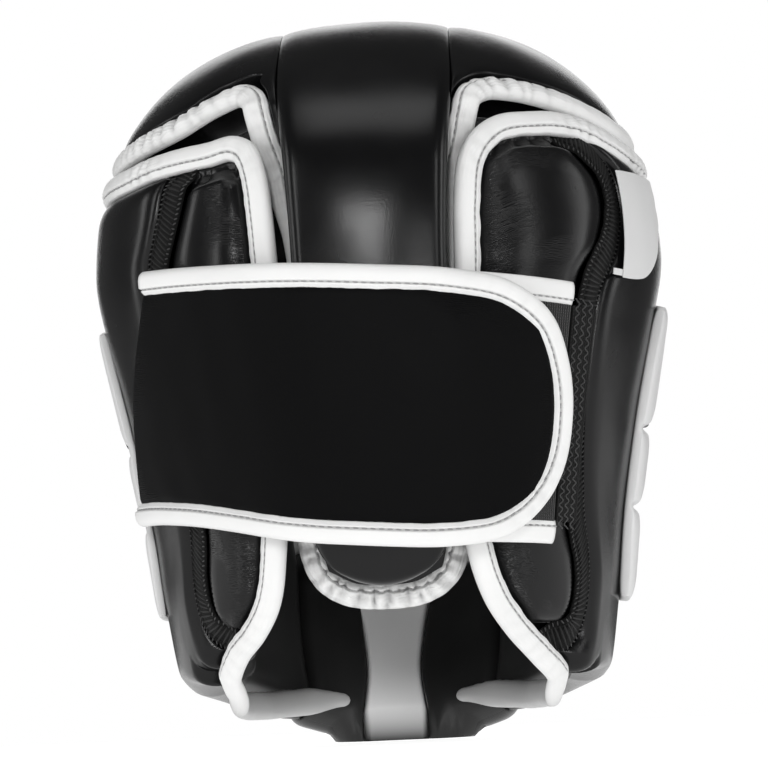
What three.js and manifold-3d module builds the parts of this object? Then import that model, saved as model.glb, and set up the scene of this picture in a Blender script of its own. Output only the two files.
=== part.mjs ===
// Boxing headgear with closed cheeks and a chin guard, in millimetres. +Z is up, the face looks along -Y.
// Every pad, strap and binding is laid on one egg-shaped form, and placed on it by two coordinates:
//   turn  degrees round the head, 0 at the back centre, 90 at the wearer's left ear, 180 at the face
//   rise  share of the overall height above the lowest rim
import * as THREE from 'three';
import { mergeVertices } from 'three/addons/utils/BufferGeometryUtils.js';
import Module from 'manifold-3d';

const wasm = await Module();
wasm.setup();

// Overall form
const height = 280; // lowest rim to the crown
const width = 220; // across the side shells above the ears
const frontReach = 130; // head axis to the form's front
const backReach = 114; // head axis to the form's back
const browLine = 0.66; // rise of the widest section, where the dome starts
const squareness = 2.25; // power of the superellipse in plan and over the dome

// Padding, leather and webbing
const shellThick = 26;
const wingThick = 22;
const browThick = 28;
const browProud = 2; // how far the forehead pad stands out of the form
const chinThick = 27;
const flapThick = 14;
const spineThick = 20; // pad over the crown and down the back of the head
const spineProud = 6;
const spineHalf = 31.5; // half width of that pad over the crown
const tailThick = 3; // leather tongue under the spine pad
const guardThick = 7; // raised cheek and ear guard
const guardGroove = 3.5; // depth of its two stitched channels
const closureThick = 5;
const loopThick = 3;
const labelThick = 1;
const tapeThick = 2.5;
const tapeWide = 13;
const tapeSink = 5; // how far the tape's rear edge dips below its front edge
const bindWide = 10; // leather binding round the pad edges
const bindThick = 7;
const strapBindWide = 9;
const strapBindThick = 7;
const earHalfHigh = 21; // ear hole
const earHalfWide = 13;
const earRingWide = 4;
const earRingThick = 5;

// Clearances
const seamGap = 1; // between neighbours that are sewn edge to edge
const layGap = 0.8; // between layers that lie on each other

// Half width and reaches of the form below the widest section, as shares of its width and reaches
const sections = [
  { rise: 0.0, side: 0.69, front: 0.8, back: 0.66 },
  { rise: 0.1, side: 0.76, front: 0.905, back: 0.72 },
  { rise: 0.19, side: 0.795, front: 0.965, back: 0.8 },
  { rise: 0.3, side: 0.83, front: 0.985, back: 0.88 },
  { rise: 0.425, side: 0.885, front: 0.99, back: 0.95 },
  { rise: 0.55, side: 0.95, front: 1.0, back: 0.99 },
  { rise: browLine, side: 1.0, front: 1.0, back: 1.0 },
];

// Edges of the pads, each a course of rows on the form. A row with bound 1 carries a leather binding.
// The sewn sides are not quite mirror images: turnR and riseR are the wearer's right where it differs.
const flapCourse = [
  { turn: 116.5, rise: 0.791, bound: 1, mark: 'brow' },
  { turn: 100, rise: 0.784, bound: 1 },
  { turn: 86, rise: 0.778, bound: 1 },
  { turn: 73, rise: 0.777, turnR: 72, riseR: 0.785, bound: 1 },
  { turn: 60, rise: 0.778, turnR: 61, riseR: 0.799, bound: 1 },
  { turn: 49, rise: 0.785, turnR: 50, riseR: 0.815, bound: 1 },
  { turn: 39, rise: 0.789, turnR: 43, riseR: 0.818, bound: 1, mark: 'tapeTop' },
  { turn: 32, rise: 0.791, turnR: 34, riseR: 0.815, bound: 1 },
  { turn: 26.5, rise: 0.796, turnR: 27, riseR: 0.808, bound: 1 },
  { turn: 23, rise: 0.786, turnR: 22, riseR: 0.788, bound: 1, mark: 'corner' },
  { turn: 20.4, rise: 0.752, turnR: 18.8, riseR: 0.757, bound: 1 },
  { turn: 19, rise: 0.7, turnR: 17.2, riseR: 0.7, bound: 1 },
  { turn: 18.4, rise: 0.63, turnR: 16.9, riseR: 0.63, bound: 1 },
  { turn: 19, rise: 0.52, turnR: 17.4, riseR: 0.52, bound: 1 },
  { turn: 21.2, rise: 0.4, turnR: 18.6, riseR: 0.4, bound: 1 },
  { turn: 24.6, rise: 0.265, turnR: 20.6, riseR: 0.265, bound: 1 },
  { turn: 28.2, rise: 0.192, turnR: 25.2, riseR: 0.192, bound: 1 },
  { turn: 33.8, rise: 0.154, turnR: 31.6, riseR: 0.148, bound: 1, mark: 'heel' },
  { turn: 41, rise: 0.126, turnR: 40.5, riseR: 0.111, bound: 1, mark: 'tapeEnd' },
  { turn: 46.6, rise: 0.095, turnR: 49, riseR: 0.082, bound: 1 },
  { turn: 49.5, rise: 0.062, turnR: 53.6, riseR: 0.054, bound: 1, mark: 'foot' },
];
const tapeCourse = [
  { turn: 39, rise: 0.789, turnR: 43, riseR: 0.818, bound: 1, mark: 'top' },
  { turn: 40.2, rise: 0.757, turnR: 48.6, riseR: 0.788, bound: 1 },
  { turn: 41.2, rise: 0.722, turnR: 53.4, riseR: 0.757, bound: 1 },
  { turn: 43, rise: 0.685, turnR: 54.3, riseR: 0.715, bound: 1 },
  { turn: 45.2, rise: 0.645, turnR: 51.6, riseR: 0.665, bound: 1 },
  { turn: 47, rise: 0.56, turnR: 47.4, riseR: 0.595, bound: 1 },
  { turn: 48, rise: 0.42, turnR: 47.6, riseR: 0.43, bound: 1 },
  { turn: 50, rise: 0.29, turnR: 51.6, riseR: 0.292, bound: 1 },
  { turn: 52.3, rise: 0.235, turnR: 55.4, riseR: 0.238, bound: 1 },
  { turn: 52, rise: 0.192, turnR: 56.2, riseR: 0.19, bound: 1 },
  { turn: 48.8, rise: 0.16, turnR: 53.2, riseR: 0.146, bound: 1, mark: 'heel' },
  { turn: 41, rise: 0.126, turnR: 40.5, riseR: 0.111, bound: 1, mark: 'end' },
];
const crownCourse = [
  { turn: 116.5, rise: 0.83, bound: 1, mark: 'brow' },
  { turn: 100, rise: 0.824, bound: 1 },
  { turn: 86, rise: 0.818, turnR: 86, riseR: 0.82, bound: 1 },
  { turn: 73, rise: 0.817, turnR: 72, riseR: 0.825, bound: 1 },
  { turn: 58, rise: 0.827, turnR: 60, riseR: 0.839, bound: 1 },
  { turn: 45, rise: 0.841, turnR: 46, riseR: 0.858, bound: 1 },
  { turn: 35, rise: 0.866, turnR: 34, riseR: 0.868, bound: 1 },
  { turn: 28.6, rise: 0.876, turnR: 27, riseR: 0.868, bound: 1 },
  { turn: 24.3, rise: 0.865, turnR: 22, riseR: 0.855, bound: 1, mark: 'corner' },
  { turn: 22, rise: 0.84, turnR: 20, riseR: 0.832, bound: 1 },
  { turn: 20.6, rise: 0.812, turnR: 19, riseR: 0.805, bound: 1, mark: 'root' },
  { turn: 18.8, rise: 0.778, turnR: 17.6, riseR: 0.774, bound: 1 },
  { turn: 17.2, rise: 0.735, turnR: 16.6, riseR: 0.735, bound: 1, mark: 'neck' },
  { turn: 15.8, rise: 0.68, turnR: 15.8, riseR: 0.68, bound: 1 },
  { turn: 15.4, rise: 0.6, bound: 1 },
  { turn: 16.6, rise: 0.45, bound: 1 },
  { turn: 19.4, rise: 0.3, bound: 1 },
  { turn: 19, rise: 0.25, bound: 1 },
  { turn: 15.6, rise: 0.219, bound: 1, mark: 'bend' },
  { turn: 8.6, rise: 0.196, bound: 1 },
  { turn: 0, rise: 0.189, bound: 1, mark: 'tip' },
];
// The face opening's edge, from the middle of the brow to the middle of the chin.
const faceCourse = [
  { turn: 180, rise: 0.706, bound: 1, mark: 'brow' },
  { turn: 166, rise: 0.705, bound: 1 },
  { turn: 152, rise: 0.7, bound: 1 },
  { turn: 143, rise: 0.687, bound: 1 },
  { turn: 138.5, rise: 0.66, bound: 1, mark: 'corner' },
  { turn: 140, rise: 0.62, bound: 1 },
  { turn: 145, rise: 0.56, bound: 1 },
  { turn: 147.5, rise: 0.49, bound: 1 },
  { turn: 147.5, rise: 0.42, bound: 1 },
  { turn: 145.5, rise: 0.36, bound: 1 },
  { turn: 146, rise: 0.315, bound: 1, mark: 'jaw' },
  { turn: 153, rise: 0.283, bound: 1 },
  { turn: 165, rise: 0.264, bound: 1 },
  { turn: 180, rise: 0.259, bound: 1, mark: 'chin' },
];
const browSeam = [
  { turn: 117, rise: 0.832, bound: 0 },
  { turn: 118.5, rise: 0.79, bound: 0.15, mark: 'temple' },
  { turn: 121, rise: 0.74, bound: 0.25 },
  { turn: 127, rise: 0.695, bound: 0.25 },
  { turn: 138.5, rise: 0.66, bound: 1 },
];
const foreheadTop = [
  { turn: 117, rise: 0.832, bound: 0 },
  { turn: 132, rise: 0.85, bound: 0 },
  { turn: 150, rise: 0.867, bound: 0 },
  { turn: 165, rise: 0.874, bound: 0, mark: 'spine' },
  { turn: 180, rise: 0.875, bound: 0 },
];
const chinSeam = [
  { turn: 146, rise: 0.315, bound: 1 },
  { turn: 143, rise: 0.25, bound: 0 },
  { turn: 141, rise: 0.15, bound: 0 },
  { turn: 141, rise: 0.018, bound: 0 },
];
const lowerRim = [
  { turn: 49.5, rise: 0.062, turnR: 53.6, riseR: 0.054, bound: 1 },
  { turn: 62, rise: 0.062, bound: 1 },
  { turn: 76, rise: 0.067, bound: 0.7 },
  { turn: 94, rise: 0.064, bound: 0 },
  { turn: 112, rise: 0.052, bound: 0 },
  { turn: 128, rise: 0.034, bound: 0 },
  { turn: 141, rise: 0.018, bound: 0, mark: 'jaw' },
  { turn: 156, rise: -0.002, bound: 0 },
  { turn: 172.5, rise: -0.014, bound: 0, mark: 'strip' },
  { turn: 180, rise: -0.016, bound: 0 },
];
// The binding along the lower rim runs on from the flap's, on the inner side. lift is its place there, as a
// share of the side shell's and the binding's thickness together.
const rimCourse = [
  { turn: 49.5, rise: 0.062, turnR: 53.6, riseR: 0.054, lift: -0.2 },
  { turn: 60, rise: 0.022, lift: -0.6 },
  { turn: 74, rise: 0.018, lift: -0.88 },
  { turn: 94, rise: 0.018, lift: -0.93 },
  { turn: 112, rise: 0.018, lift: -0.935 },
  { turn: 130, rise: 0.019, lift: -0.94 },
  { turn: 146, rise: 0.02, lift: -0.942 },
  { turn: 160, rise: 0.022, lift: -0.942 },
];
// Half width of the white strip up the middle of the chin guard, as a share of the overall width
const chinStrip = [
  { rise: 0.259, half: 0.084 },
  { rise: 0.19, half: 0.064 },
  { rise: 0.12, half: 0.054 },
  { rise: 0.06, half: 0.054 },
  { rise: -0.014, half: 0.068 },
];
// Half width of the spine pad as a share of spineHalf. over is the angle from the back (0) over the top (90)
// to the front (180), and runs on below the widest section to -90 at the lowest rim.
const spineEdge = [
  { over: -59, half: 0.52 },
  { over: -55, half: 0.74 },
  { over: -48, half: 0.85 },
  { over: -30, half: 0.88 },
  { over: 0, half: 0.91 },
  { over: 15, half: 0.96 },
  { over: 34, half: 1.03 },
  { over: 60, half: 1.02 },
  { over: 90, half: 1.0 },
  { over: 120, half: 1.0 },
  { over: 146, half: 1.0 },
];
const spineTipOver = -61.5;
const wingRootOver = 24.4; // where the wing of the crown begins beside the pad
// The cheek and ear guard's edges on the side shell
const guardRear = [
  { turn: 84, rise: 0.585 },
  { turn: 80, rise: 0.52 },
  { turn: 78, rise: 0.4 },
  { turn: 78.5, rise: 0.28 },
  { turn: 81, rise: 0.187 },
];
const guardTop = [
  { turn: 84, rise: 0.585 },
  { turn: 100, rise: 0.605 },
  { turn: 118, rise: 0.6 },
  { turn: 134, rise: 0.575 },
];
const guardFront = [
  { turn: 134, rise: 0.575 },
  { turn: 139, rise: 0.53 },
  { turn: 140.5, rise: 0.46 },
  { turn: 139.5, rise: 0.38 },
  { turn: 137, rise: 0.32 },
  { turn: 132, rise: 0.26 },
];
const guardBottom = [
  { turn: 81, rise: 0.187 },
  { turn: 98, rise: 0.184 },
  { turn: 116, rise: 0.204 },
  { turn: 132, rise: 0.26 },
];
const guardChannels = [0.43, 0.69]; // shares of the guard's height where a channel is stitched
const earHole = { turn: 97, rise: 0.5 };
// The closure strap's edges, from its sewn end on the wearer's left to its round end
const closureTop = [
  { turn: 45.5, rise: 0.624 },
  { turn: 35, rise: 0.621 },
  { turn: 18, rise: 0.614 },
  { turn: 0, rise: 0.603 },
  { turn: -12, rise: 0.595 },
  { turn: -22, rise: 0.58 },
  { turn: -30, rise: 0.544 },
];
const closureEnd = [
  { turn: -30, rise: 0.544 },
  { turn: -34.6, rise: 0.487 },
  { turn: -36.4, rise: 0.43 },
  { turn: -35.4, rise: 0.37 },
  { turn: -31, rise: 0.324 },
];
const closureBottom = [
  { turn: 71, rise: 0.327 },
  { turn: 56, rise: 0.324 },
  { turn: 38, rise: 0.314 },
  { turn: 18, rise: 0.298 },
  { turn: 0, rise: 0.286 },
  { turn: -12, rise: 0.282 },
  { turn: -23, rise: 0.291 },
  { turn: -31, rise: 0.324 },
];
const closureRoot = [
  { turn: 45.5, rise: 0.624 },
  { turn: 51.5, rise: 0.56 },
  { turn: 61, rise: 0.465 },
  { turn: 66.5, rise: 0.395 },
  { turn: 71, rise: 0.327 },
];
// The loop strap under it, from its hidden end to its sewn end on the wearer's right
const loopEdges = { hidden: 8, bindingEnd: -39.5, sewn: -46.5, top: 0.6, topEnd: 0.578, bottom: 0.289, bottomEnd: 0.27 };
const sinkRise = 0.86; // rise from which the crown's binding sinks behind the flaps
const sinkFall = 0.09;
const labelEdges = { rear: -59, front: -78, top: 0.752, bottom: 0.614, cut: 0.66 };

const lowestForm = 0;
const domeBase = height * browLine;
const domeHigh = height - domeBase;
const axisUp = new THREE.Vector3(0, 0, 1);

const clamp01 = (value) => Math.min(1, Math.max(0, value));
const mix = (from, to, share) => from + (to - from) * share;
const smooth = (value) => {
  const t = clamp01(value);
  return t * t * (3 - 2 * t);
};
const power = (value, exponent) => Math.sign(value) * Math.abs(value) ** exponent;

// Cubic through a table's column, with tangents from the neighbouring rows and a level end at the last row.
function column(table, key, name, value) {
  const last = table.length - 1;
  const x = Math.min(Math.max(value, table[0][key]), table[last][key]);
  let i = 0;
  while (i < last - 1 && x > table[i + 1][key]) i += 1;
  const slope = (k) => {
    if (k === last) return 0;
    const low = table[Math.max(k - 1, 0)];
    const high = table[k + 1];
    return (high[name] - low[name]) / (high[key] - low[key]);
  };
  const span = table[i + 1][key] - table[i][key];
  const t = (x - table[i][key]) / span;
  return (
    (2 * t ** 3 - 3 * t ** 2 + 1) * table[i][name] +
    (t ** 3 - 2 * t ** 2 + t) * span * slope(i) +
    (3 * t ** 2 - 2 * t ** 3) * table[i + 1][name] +
    (t ** 3 - t ** 2) * span * slope(i + 1)
  );
}

// Half width, front reach and back reach of the tube below the dome at a height.
function reaches(z) {
  const rise = Math.max(z, lowestForm) / height;
  return {
    side: (width / 2) * column(sections, 'rise', 'side', rise),
    front: frontReach * column(sections, 'rise', 'front', rise),
    back: backReach * column(sections, 'rise', 'back', rise),
  };
}

// 1 on the form, under 1 inside it.
function level(p) {
  const { side, front, back } = p.z > domeBase ? { side: width / 2, front: frontReach, back: backReach } : reaches(p.z);
  const plan = Math.abs(p.x / side) ** squareness + Math.abs(p.y / (p.y > 0 ? back : front)) ** squareness;
  const over = p.z > domeBase ? ((p.z - domeBase) / domeHigh) ** squareness : 0;
  return (plan + over) ** (1 / squareness);
}

// Moves a point on to the form: away from the dome's centre above its base, and from the head axis below it.
function seat(p) {
  const centre = new THREE.Vector3(0, 0, Math.min(p.z, domeBase));
  return p.clone().sub(centre).divideScalar(level(p)).add(centre);
}

function normalAt(p) {
  const step = 0.4;
  const slope = (axis) => {
    const ahead = p.clone();
    const behind = p.clone();
    ahead[axis] += step;
    behind[axis] -= step;
    return level(ahead) - level(behind);
  };
  return new THREE.Vector3(slope('x'), slope('y'), slope('z')).normalize();
}

function lifted(p, lift) {
  const base = seat(p);
  return base.addScaledVector(normalAt(base), lift);
}

// The point of the form at a turn and a rise. side -1 mirrors it to the wearer's right.
function formPoint(row, side = 1) {
  const turn = side < 0 ? row.turnR ?? row.turn : row.turn;
  const rise = side < 0 ? row.riseR ?? row.rise : row.rise;
  const angle = THREE.MathUtils.degToRad(side * turn);
  const z = rise * height;
  const dome = z > domeBase ? (1 - ((z - domeBase) / domeHigh) ** squareness) ** (1 / squareness) : 1;
  const { side: half, front, back } = reaches(Math.min(z, domeBase));
  const reach = Math.cos(angle) > 0 ? back : front;
  return new THREE.Vector3(
    dome * half * power(Math.sin(angle), 2 / squareness),
    dome * reach * power(Math.cos(angle), 2 / squareness),
    z,
  );
}

// The point of the form at a distance across and an angle over the head.
function spinePoint(x, over) {
  if (over < 0) {
    const z = domeBase * (1 + over / 90);
    const { side, back } = reaches(z);
    return new THREE.Vector3(x, back * (1 - Math.abs(x / side) ** squareness) ** (1 / squareness), z);
  }
  const angle = THREE.MathUtils.degToRad(over);
  const reach = over < 90 ? backReach : frontReach;
  const rest = (1 - Math.abs((2 * x) / width) ** squareness) ** (1 / squareness);
  return new THREE.Vector3(
    x,
    rest * reach * power(Math.cos(angle), 2 / squareness),
    domeBase + rest * domeHigh * Math.sin(angle) ** (2 / squareness),
  );
}

// A smooth line through points, read by its share of length. bound follows the rows' own values.
const flipped = (edge) => ({
  length: edge.length,
  at: (share) => edge.at(1 - share),
  bound: (share) => edge.bound(1 - share),
  lift: (share) => edge.lift(1 - share),
});
const lineSamples = 96;
function line(points, bounds = points.map(() => 0), lifts = points.map(() => 0)) {
  const curve = new THREE.CatmullRomCurve3(points, false, 'centripetal');
  const samples = curve.getPoints(lineSamples);
  const lengths = [0];
  for (let i = 1; i < samples.length; i += 1) {
    lengths.push(lengths[i - 1] + samples[i].distanceTo(samples[i - 1]));
  }
  const total = lengths[lengths.length - 1];
  const whole = (share) => {
    const want = clamp01(share) * total;
    let i = 1;
    while (i < lengths.length - 1 && lengths[i] < want) i += 1;
    const part = (want - lengths[i - 1]) / (lengths[i] - lengths[i - 1]);
    return (i - 1 + part) / lineSamples;
  };
  const byRow = (values, share) => {
    const place = whole(share) * (points.length - 1);
    const row = Math.min(points.length - 2, Math.floor(place));
    return mix(values[row], values[row + 1], place - row);
  };
  return {
    length: total,
    at: (share) => curve.getPoint(clamp01(whole(share))),
    bound: (share) => byRow(bounds, share),
    lift: (share) => byRow(lifts, share),
  };
}

// The rows of a course between two marks, both included, in the order asked for.
function between(course, from, to) {
  const place = (mark) => course.findIndex((row) => row.mark === mark);
  const [a, b] = [place(from), place(to)];
  return a <= b ? course.slice(a, b + 1) : course.slice(b, a + 1).reverse();
}

function lineOf(rows, side = 1) {
  return line(
    rows.map((row) => formPoint(row, side)),
    rows.map((row) => row.bound ?? 0),
    rows.map((row) => row.lift ?? 0),
  );
}

// A closed solid from rings of points that go once round, with flat fans on its two ends.
function solidFrom(vertices, faces) {
  const geometry = new THREE.BufferGeometry();
  geometry.setAttribute('position', new THREE.Float32BufferAttribute(vertices.flatMap((p) => [p.x, p.y, p.z]), 3));
  const volume = faces.reduce((sum, [a, b, c]) => {
    return sum + vertices[a].dot(new THREE.Vector3().crossVectors(vertices[b], vertices[c]));
  }, 0);
  geometry.setIndex(faces.flatMap(([a, b, c]) => (volume > 0 ? [a, b, c] : [a, c, b])));
  return geometry;
}

// Places from 0 to 1 along a side: close together in the rounded edges, even between them.
function stops(length, round, step, extra = []) {
  const edge = [0, 0.28 * round, round].map((distance) => distance / length);
  const inner = Math.max(1, Math.round((length - 2 * round) / step));
  const places = [...edge];
  for (let i = 1; i < inner; i += 1) places.push(mix(edge[2], 1 - edge[2], i / inner));
  places.push(...edge.map((value) => 1 - value).reverse());
  if (!extra.length) return places;
  const clear = places.filter((value) => extra.every((other) => Math.abs(other - value) > 0.03));
  return [...clear, ...extra].sort((a, b) => a - b);
}

const quarter = (distance, round) => Math.sqrt(Math.max(0, 1 - (1 - clamp01(distance / round)) ** 2));

// A padded panel between four edge lines on the form. rear and front run from top to bottom, top and bottom
// from rear to front. outer and inner are lifts off the form, as numbers or functions of a point.
function pad(edges, { outer, inner, round, rim = 1.5, step = 20, trims = {}, relief = () => 0, rows = [] }) {
  const { rear, front, top, bottom } = edges;
  const long = (rear.length + front.length) / 2;
  const wide = Math.max(top.length, bottom.length);
  const lay = (value, p) => (typeof value === 'function' ? value(p) : value);
  const coons = (u, v) => {
    const p = new THREE.Vector3();
    p.addScaledVector(top.at(u), 1 - v).addScaledVector(bottom.at(u), v);
    p.addScaledVector(rear.at(v), 1 - u).addScaledVector(front.at(v), u);
    p.addScaledVector(top.at(0), -(1 - u) * (1 - v)).addScaledVector(top.at(1), -u * (1 - v));
    return p.addScaledVector(bottom.at(0), -(1 - u) * v).addScaledVector(bottom.at(1), -u * v);
  };
  // How far, as a share of the panel there, an edge is set back for its binding or its seam.
  const setBack = (edge, other, share, trim) => {
    const ahead = edge.at(Math.min(1, share + 0.01)).sub(edge.at(Math.max(0, share - 0.01))).normalize();
    const cross = other.at(share).sub(edge.at(share));
    const reach = cross.length();
    const slant = Math.max(0.45, new THREE.Vector3().crossVectors(ahead, cross).length() / reach);
    return mix(seamGap / 2, trim, edge.bound(share)) / slant / reach;
  };
  const half = (name) => trims[name] ?? bindWide / 2 + seamGap;
  const place = (u, v) => {
    const across = mix(setBack(rear, front, v, half('rear')), 1 - setBack(front, rear, v, half('front')), u);
    const down = mix(setBack(top, bottom, u, half('top')), 1 - setBack(bottom, top, u, half('bottom')), v);
    return seat(coons(across, down));
  };
  const us = stops(wide, round, step);
  const vs = stops(long, round, step, rows);
  const outside = [];
  const inside = [];
  vs.forEach((v) => {
    us.forEach((u) => {
      const p = place(u, v);
      const edge = Math.min(u, 1 - u) * wide;
      const end = Math.min(v, 1 - v) * long;
      const full = quarter(edge, round) * quarter(end, round);
      const [out, into] = [lay(outer, p), lay(inner, p)];
      const middle = (out + into) / 2;
      const normal = normalAt(p);
      outside.push(p.clone().addScaledVector(normal, mix(middle + rim, out + relief(u, v, p) * full, full)));
      inside.push(p.clone().addScaledVector(normal, mix(middle - rim, into, Math.sqrt(full))));
    });
  });
  const n = us.length;
  const m = vs.length;
  const faces = [];
  const back = n * m;
  const quad = (a, b, c, d) => faces.push([a, b, c], [a, c, d]);
  for (let j = 0; j < m - 1; j += 1) {
    for (let i = 0; i < n - 1; i += 1) {
      const a = j * n + i;
      quad(a, a + 1, a + n + 1, a + n);
      quad(back + a, back + a + n, back + a + n + 1, back + a + 1);
    }
  }
  const round4 = [];
  for (let i = 0; i < n - 1; i += 1) round4.push(i);
  for (let j = 0; j < m - 1; j += 1) round4.push(j * n + n - 1);
  for (let i = n - 1; i > 0; i -= 1) round4.push((m - 1) * n + i);
  for (let j = m - 1; j > 0; j -= 1) round4.push(j * n);
  round4.forEach((a, i) => {
    const b = round4[(i + 1) % round4.length];
    quad(a, back + a, back + b, b);
  });
  return solidFrom([...outside, ...inside], faces);
}

// A flat band swept along a line on the form. across tilts with the line, lift is its middle's lift.
const bandSides = 6;
function band(path, { wide, thick, lift = 0, step = 11, from = 0, to = 1, closed = false, tilt = 0 }) {
  const count = Math.max(4, Math.round((path.length * (to - from)) / step));
  const liftAt = (share, p) => (typeof lift === 'function' ? lift(p, share) : lift);
  const vertices = [];
  const rings = closed ? count : count + 1;
  for (let i = 0; i < rings; i += 1) {
    const share = mix(from, to, i / count);
    const base = seat(path.at(share));
    const near = closed ? 1 / count : 0.01;
    const wrap = (value) => (closed ? (value + 1) % 1 : clamp01(value));
    const ahead = path.at(wrap(share + near)).sub(path.at(wrap(share - near)));
    const normal = normalAt(base);
    ahead.addScaledVector(normal, -ahead.dot(normal)).normalize();
    const across = new THREE.Vector3().crossVectors(ahead, normal);
    const middle = base.addScaledVector(normal, liftAt(share, base));
    for (let k = 0; k < bandSides; k += 1) {
      const angle = ((k + 0.5) / bandSides) * 2 * Math.PI;
      const sideways = (wide / 2) * power(Math.cos(angle), 0.7) * 1.03;
      const out = (thick / 2) * power(Math.sin(angle), 0.85) + (tilt * sideways) / wide;
      vertices.push(middle.clone().addScaledVector(across, sideways).addScaledVector(normal, out));
    }
  }
  const faces = [];
  for (let i = 0; i < (closed ? rings : rings - 1); i += 1) {
    for (let k = 0; k < bandSides; k += 1) {
      const a = i * bandSides + k;
      const b = i * bandSides + ((k + 1) % bandSides);
      const c = ((i + 1) % rings) * bandSides;
      const d = c + ((k + 1) % bandSides);
      faces.push([a, b, d], [a, d, c + k]);
    }
  }
  if (!closed) {
    const last = (rings - 1) * bandSides;
    for (let k = 1; k < bandSides - 1; k += 1) {
      faces.push([0, k + 1, k], [last, last + k, last + k + 1]);
    }
  }
  return solidFrom(vertices, faces);
}

// Exact joins and cuts.
function asSolid(geometry) {
  const bare = geometry.clone();
  bare.deleteAttribute('normal');
  bare.deleteAttribute('uv');
  const merged = mergeVertices(bare, 1e-4);
  return new wasm.Manifold(
    new wasm.Mesh({
      numProp: 3,
      vertProperties: merged.attributes.position.array,
      triVerts: new Uint32Array(merged.index.array),
    }),
  );
}

function cut(geometry, ...tools) {
  const solid = tools.reduce((rest, tool) => rest.subtract(asSolid(tool)), asSolid(geometry));
  const mesh = solid.getMesh();
  const out = new THREE.BufferGeometry();
  out.setAttribute('position', new THREE.Float32BufferAttribute(mesh.vertProperties, 3));
  return out.setIndex(Array.from(mesh.triVerts));
}

const black = { color: 0x141414, roughness: 0.38, metalness: 0 };
const white = { color: 0xe4e4e2, roughness: 0.5, metalness: 0 };
const web = { color: 0x0f0f0f, roughness: 0.85, metalness: 0 };
const paper = { color: 0xdcdcda, roughness: 0.8, metalness: 0 };
const pale = { color: 0xb9b9b7, roughness: 0.55, metalness: 0 };

const headgear = new THREE.Group();
headgear.name = 'headgear';
function add(name, geometry, finish) {
  const mesh = new THREE.Mesh(geometry, new THREE.MeshStandardMaterial(finish));
  mesh.name = name;
  headgear.add(mesh);
}

// Turn of a point as the courses state it.
function turnOf(p) {
  const { side, front, back } = p.z > domeBase ? { side: width / 2, front: frontReach, back: backReach } : reaches(p.z);
  const y = p.y / (p.y > 0 ? back : front);
  return THREE.MathUtils.radToDeg(Math.atan2(power(p.x / side, squareness / 2), power(y, squareness / 2)));
}

// Lift of a strap's inner face as it bridges the side pads, the flaps' bindings and the spine pad.
const wideTrim = bindWide / 2 + seamGap + 0.5;
const tapeTrim = tapeWide / 2 + seamGap + 0.8;
const strapNear = 1.2;
const bridgeFlat = 13;
const bridgeFall = 34;
function bridge(p) {
  const over = spineProud + layGap - strapNear;
  return strapNear + over * (1 - smooth((Math.abs(turnOf(p)) - bridgeFlat) / bridgeFall));
}
const loopInner = (p) => bridge(p);
const loopOuter = (p) => bridge(p) + loopThick;
// The closure strap lies on the loop strap and comes down to the side shell beyond the loop strap's end.
function closureInner(p) {
  const onLoop = 1 - smooth((turnOf(p) - loopEdges.hidden) / 22);
  return bridge(p) + (loopThick + layGap + 0.3) * onLoop;
}
const closureOuter = (p) => closureInner(p) + closureThick;

// A part of a line, read by its own share.
function stretch(whole, from, to) {
  return {
    length: whole.length * Math.abs(to - from),
    at: (share) => whole.at(mix(from, to, share)),
    bound: (share) => whole.bound(mix(from, to, share)),
    lift: (share) => whole.lift(mix(from, to, share)),
  };
}

// A line through rows on the wearer's left and on to their mirrored places on the right.
function bothSides(rows, mark = (row) => row.bound ?? 0) {
  const rest = rows.slice(0, -1).reverse();
  return line(
    [...rows.map((row) => formPoint(row, 1)), ...rest.map((row) => formPoint(row, -1))],
    [...rows, ...rest].map(mark),
  );
}

// The forehead pad's top edge, and the shares of it where the spine pad meets it.
const foreheadEdge = bothSides(foreheadTop);
function shareAcross(edge, x) {
  let [low, high] = [0, 1];
  for (let i = 0; i < 30; i += 1) {
    const half = (low + high) / 2;
    if (edge.at(half).x > x) low = half;
    else high = half;
  }
  return low;
}

// The pad over the crown and down the back of the head.
const spineEdgePoint = (over, side) => spinePoint(side * column(spineEdge, 'over', 'half', over) * spineHalf, over);
const spineEnd = spineEdge[0];
const spineFront = { 1: shareAcross(foreheadEdge, spineHalf), '-1': shareAcross(foreheadEdge, -spineHalf) };
function spineSide(side, from) {
  const overs = [from, ...spineEdge.map(({ over }) => over).filter((over) => over > from)].slice(0, -1);
  return line([...overs.map((over) => spineEdgePoint(over, side)), foreheadEdge.at(spineFront[side])]);
}
// It stands out of the form only below the crown.
function spineOuter(p) {
  return p.y > 0 ? spineProud * smooth((1.12 * domeBase + 0.55 * domeHigh - p.z) / (0.55 * domeHigh)) : 0;
}
const spineInner = (p) => spineOuter(p) - spineThick;
function spinePad() {
  const tip = [-1, -0.5, 0, 0.5, 1].map((side) => {
    const over = mix(spineTipOver, spineEnd.over, side ** 2);
    return spinePoint(side * spineEnd.half * spineHalf, over);
  });
  return pad(
    {
      rear: flipped(spineSide(-1, spineEnd.over)),
      front: flipped(spineSide(1, spineEnd.over)),
      top: stretch(foreheadEdge, spineFront[-1], spineFront[1]),
      bottom: line(tip),
    },
    { outer: spineOuter, inner: spineInner, round: 6.5, rim: 1.2, step: 19 },
  );
}
add('spine_pad', spinePad(), black);

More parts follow.
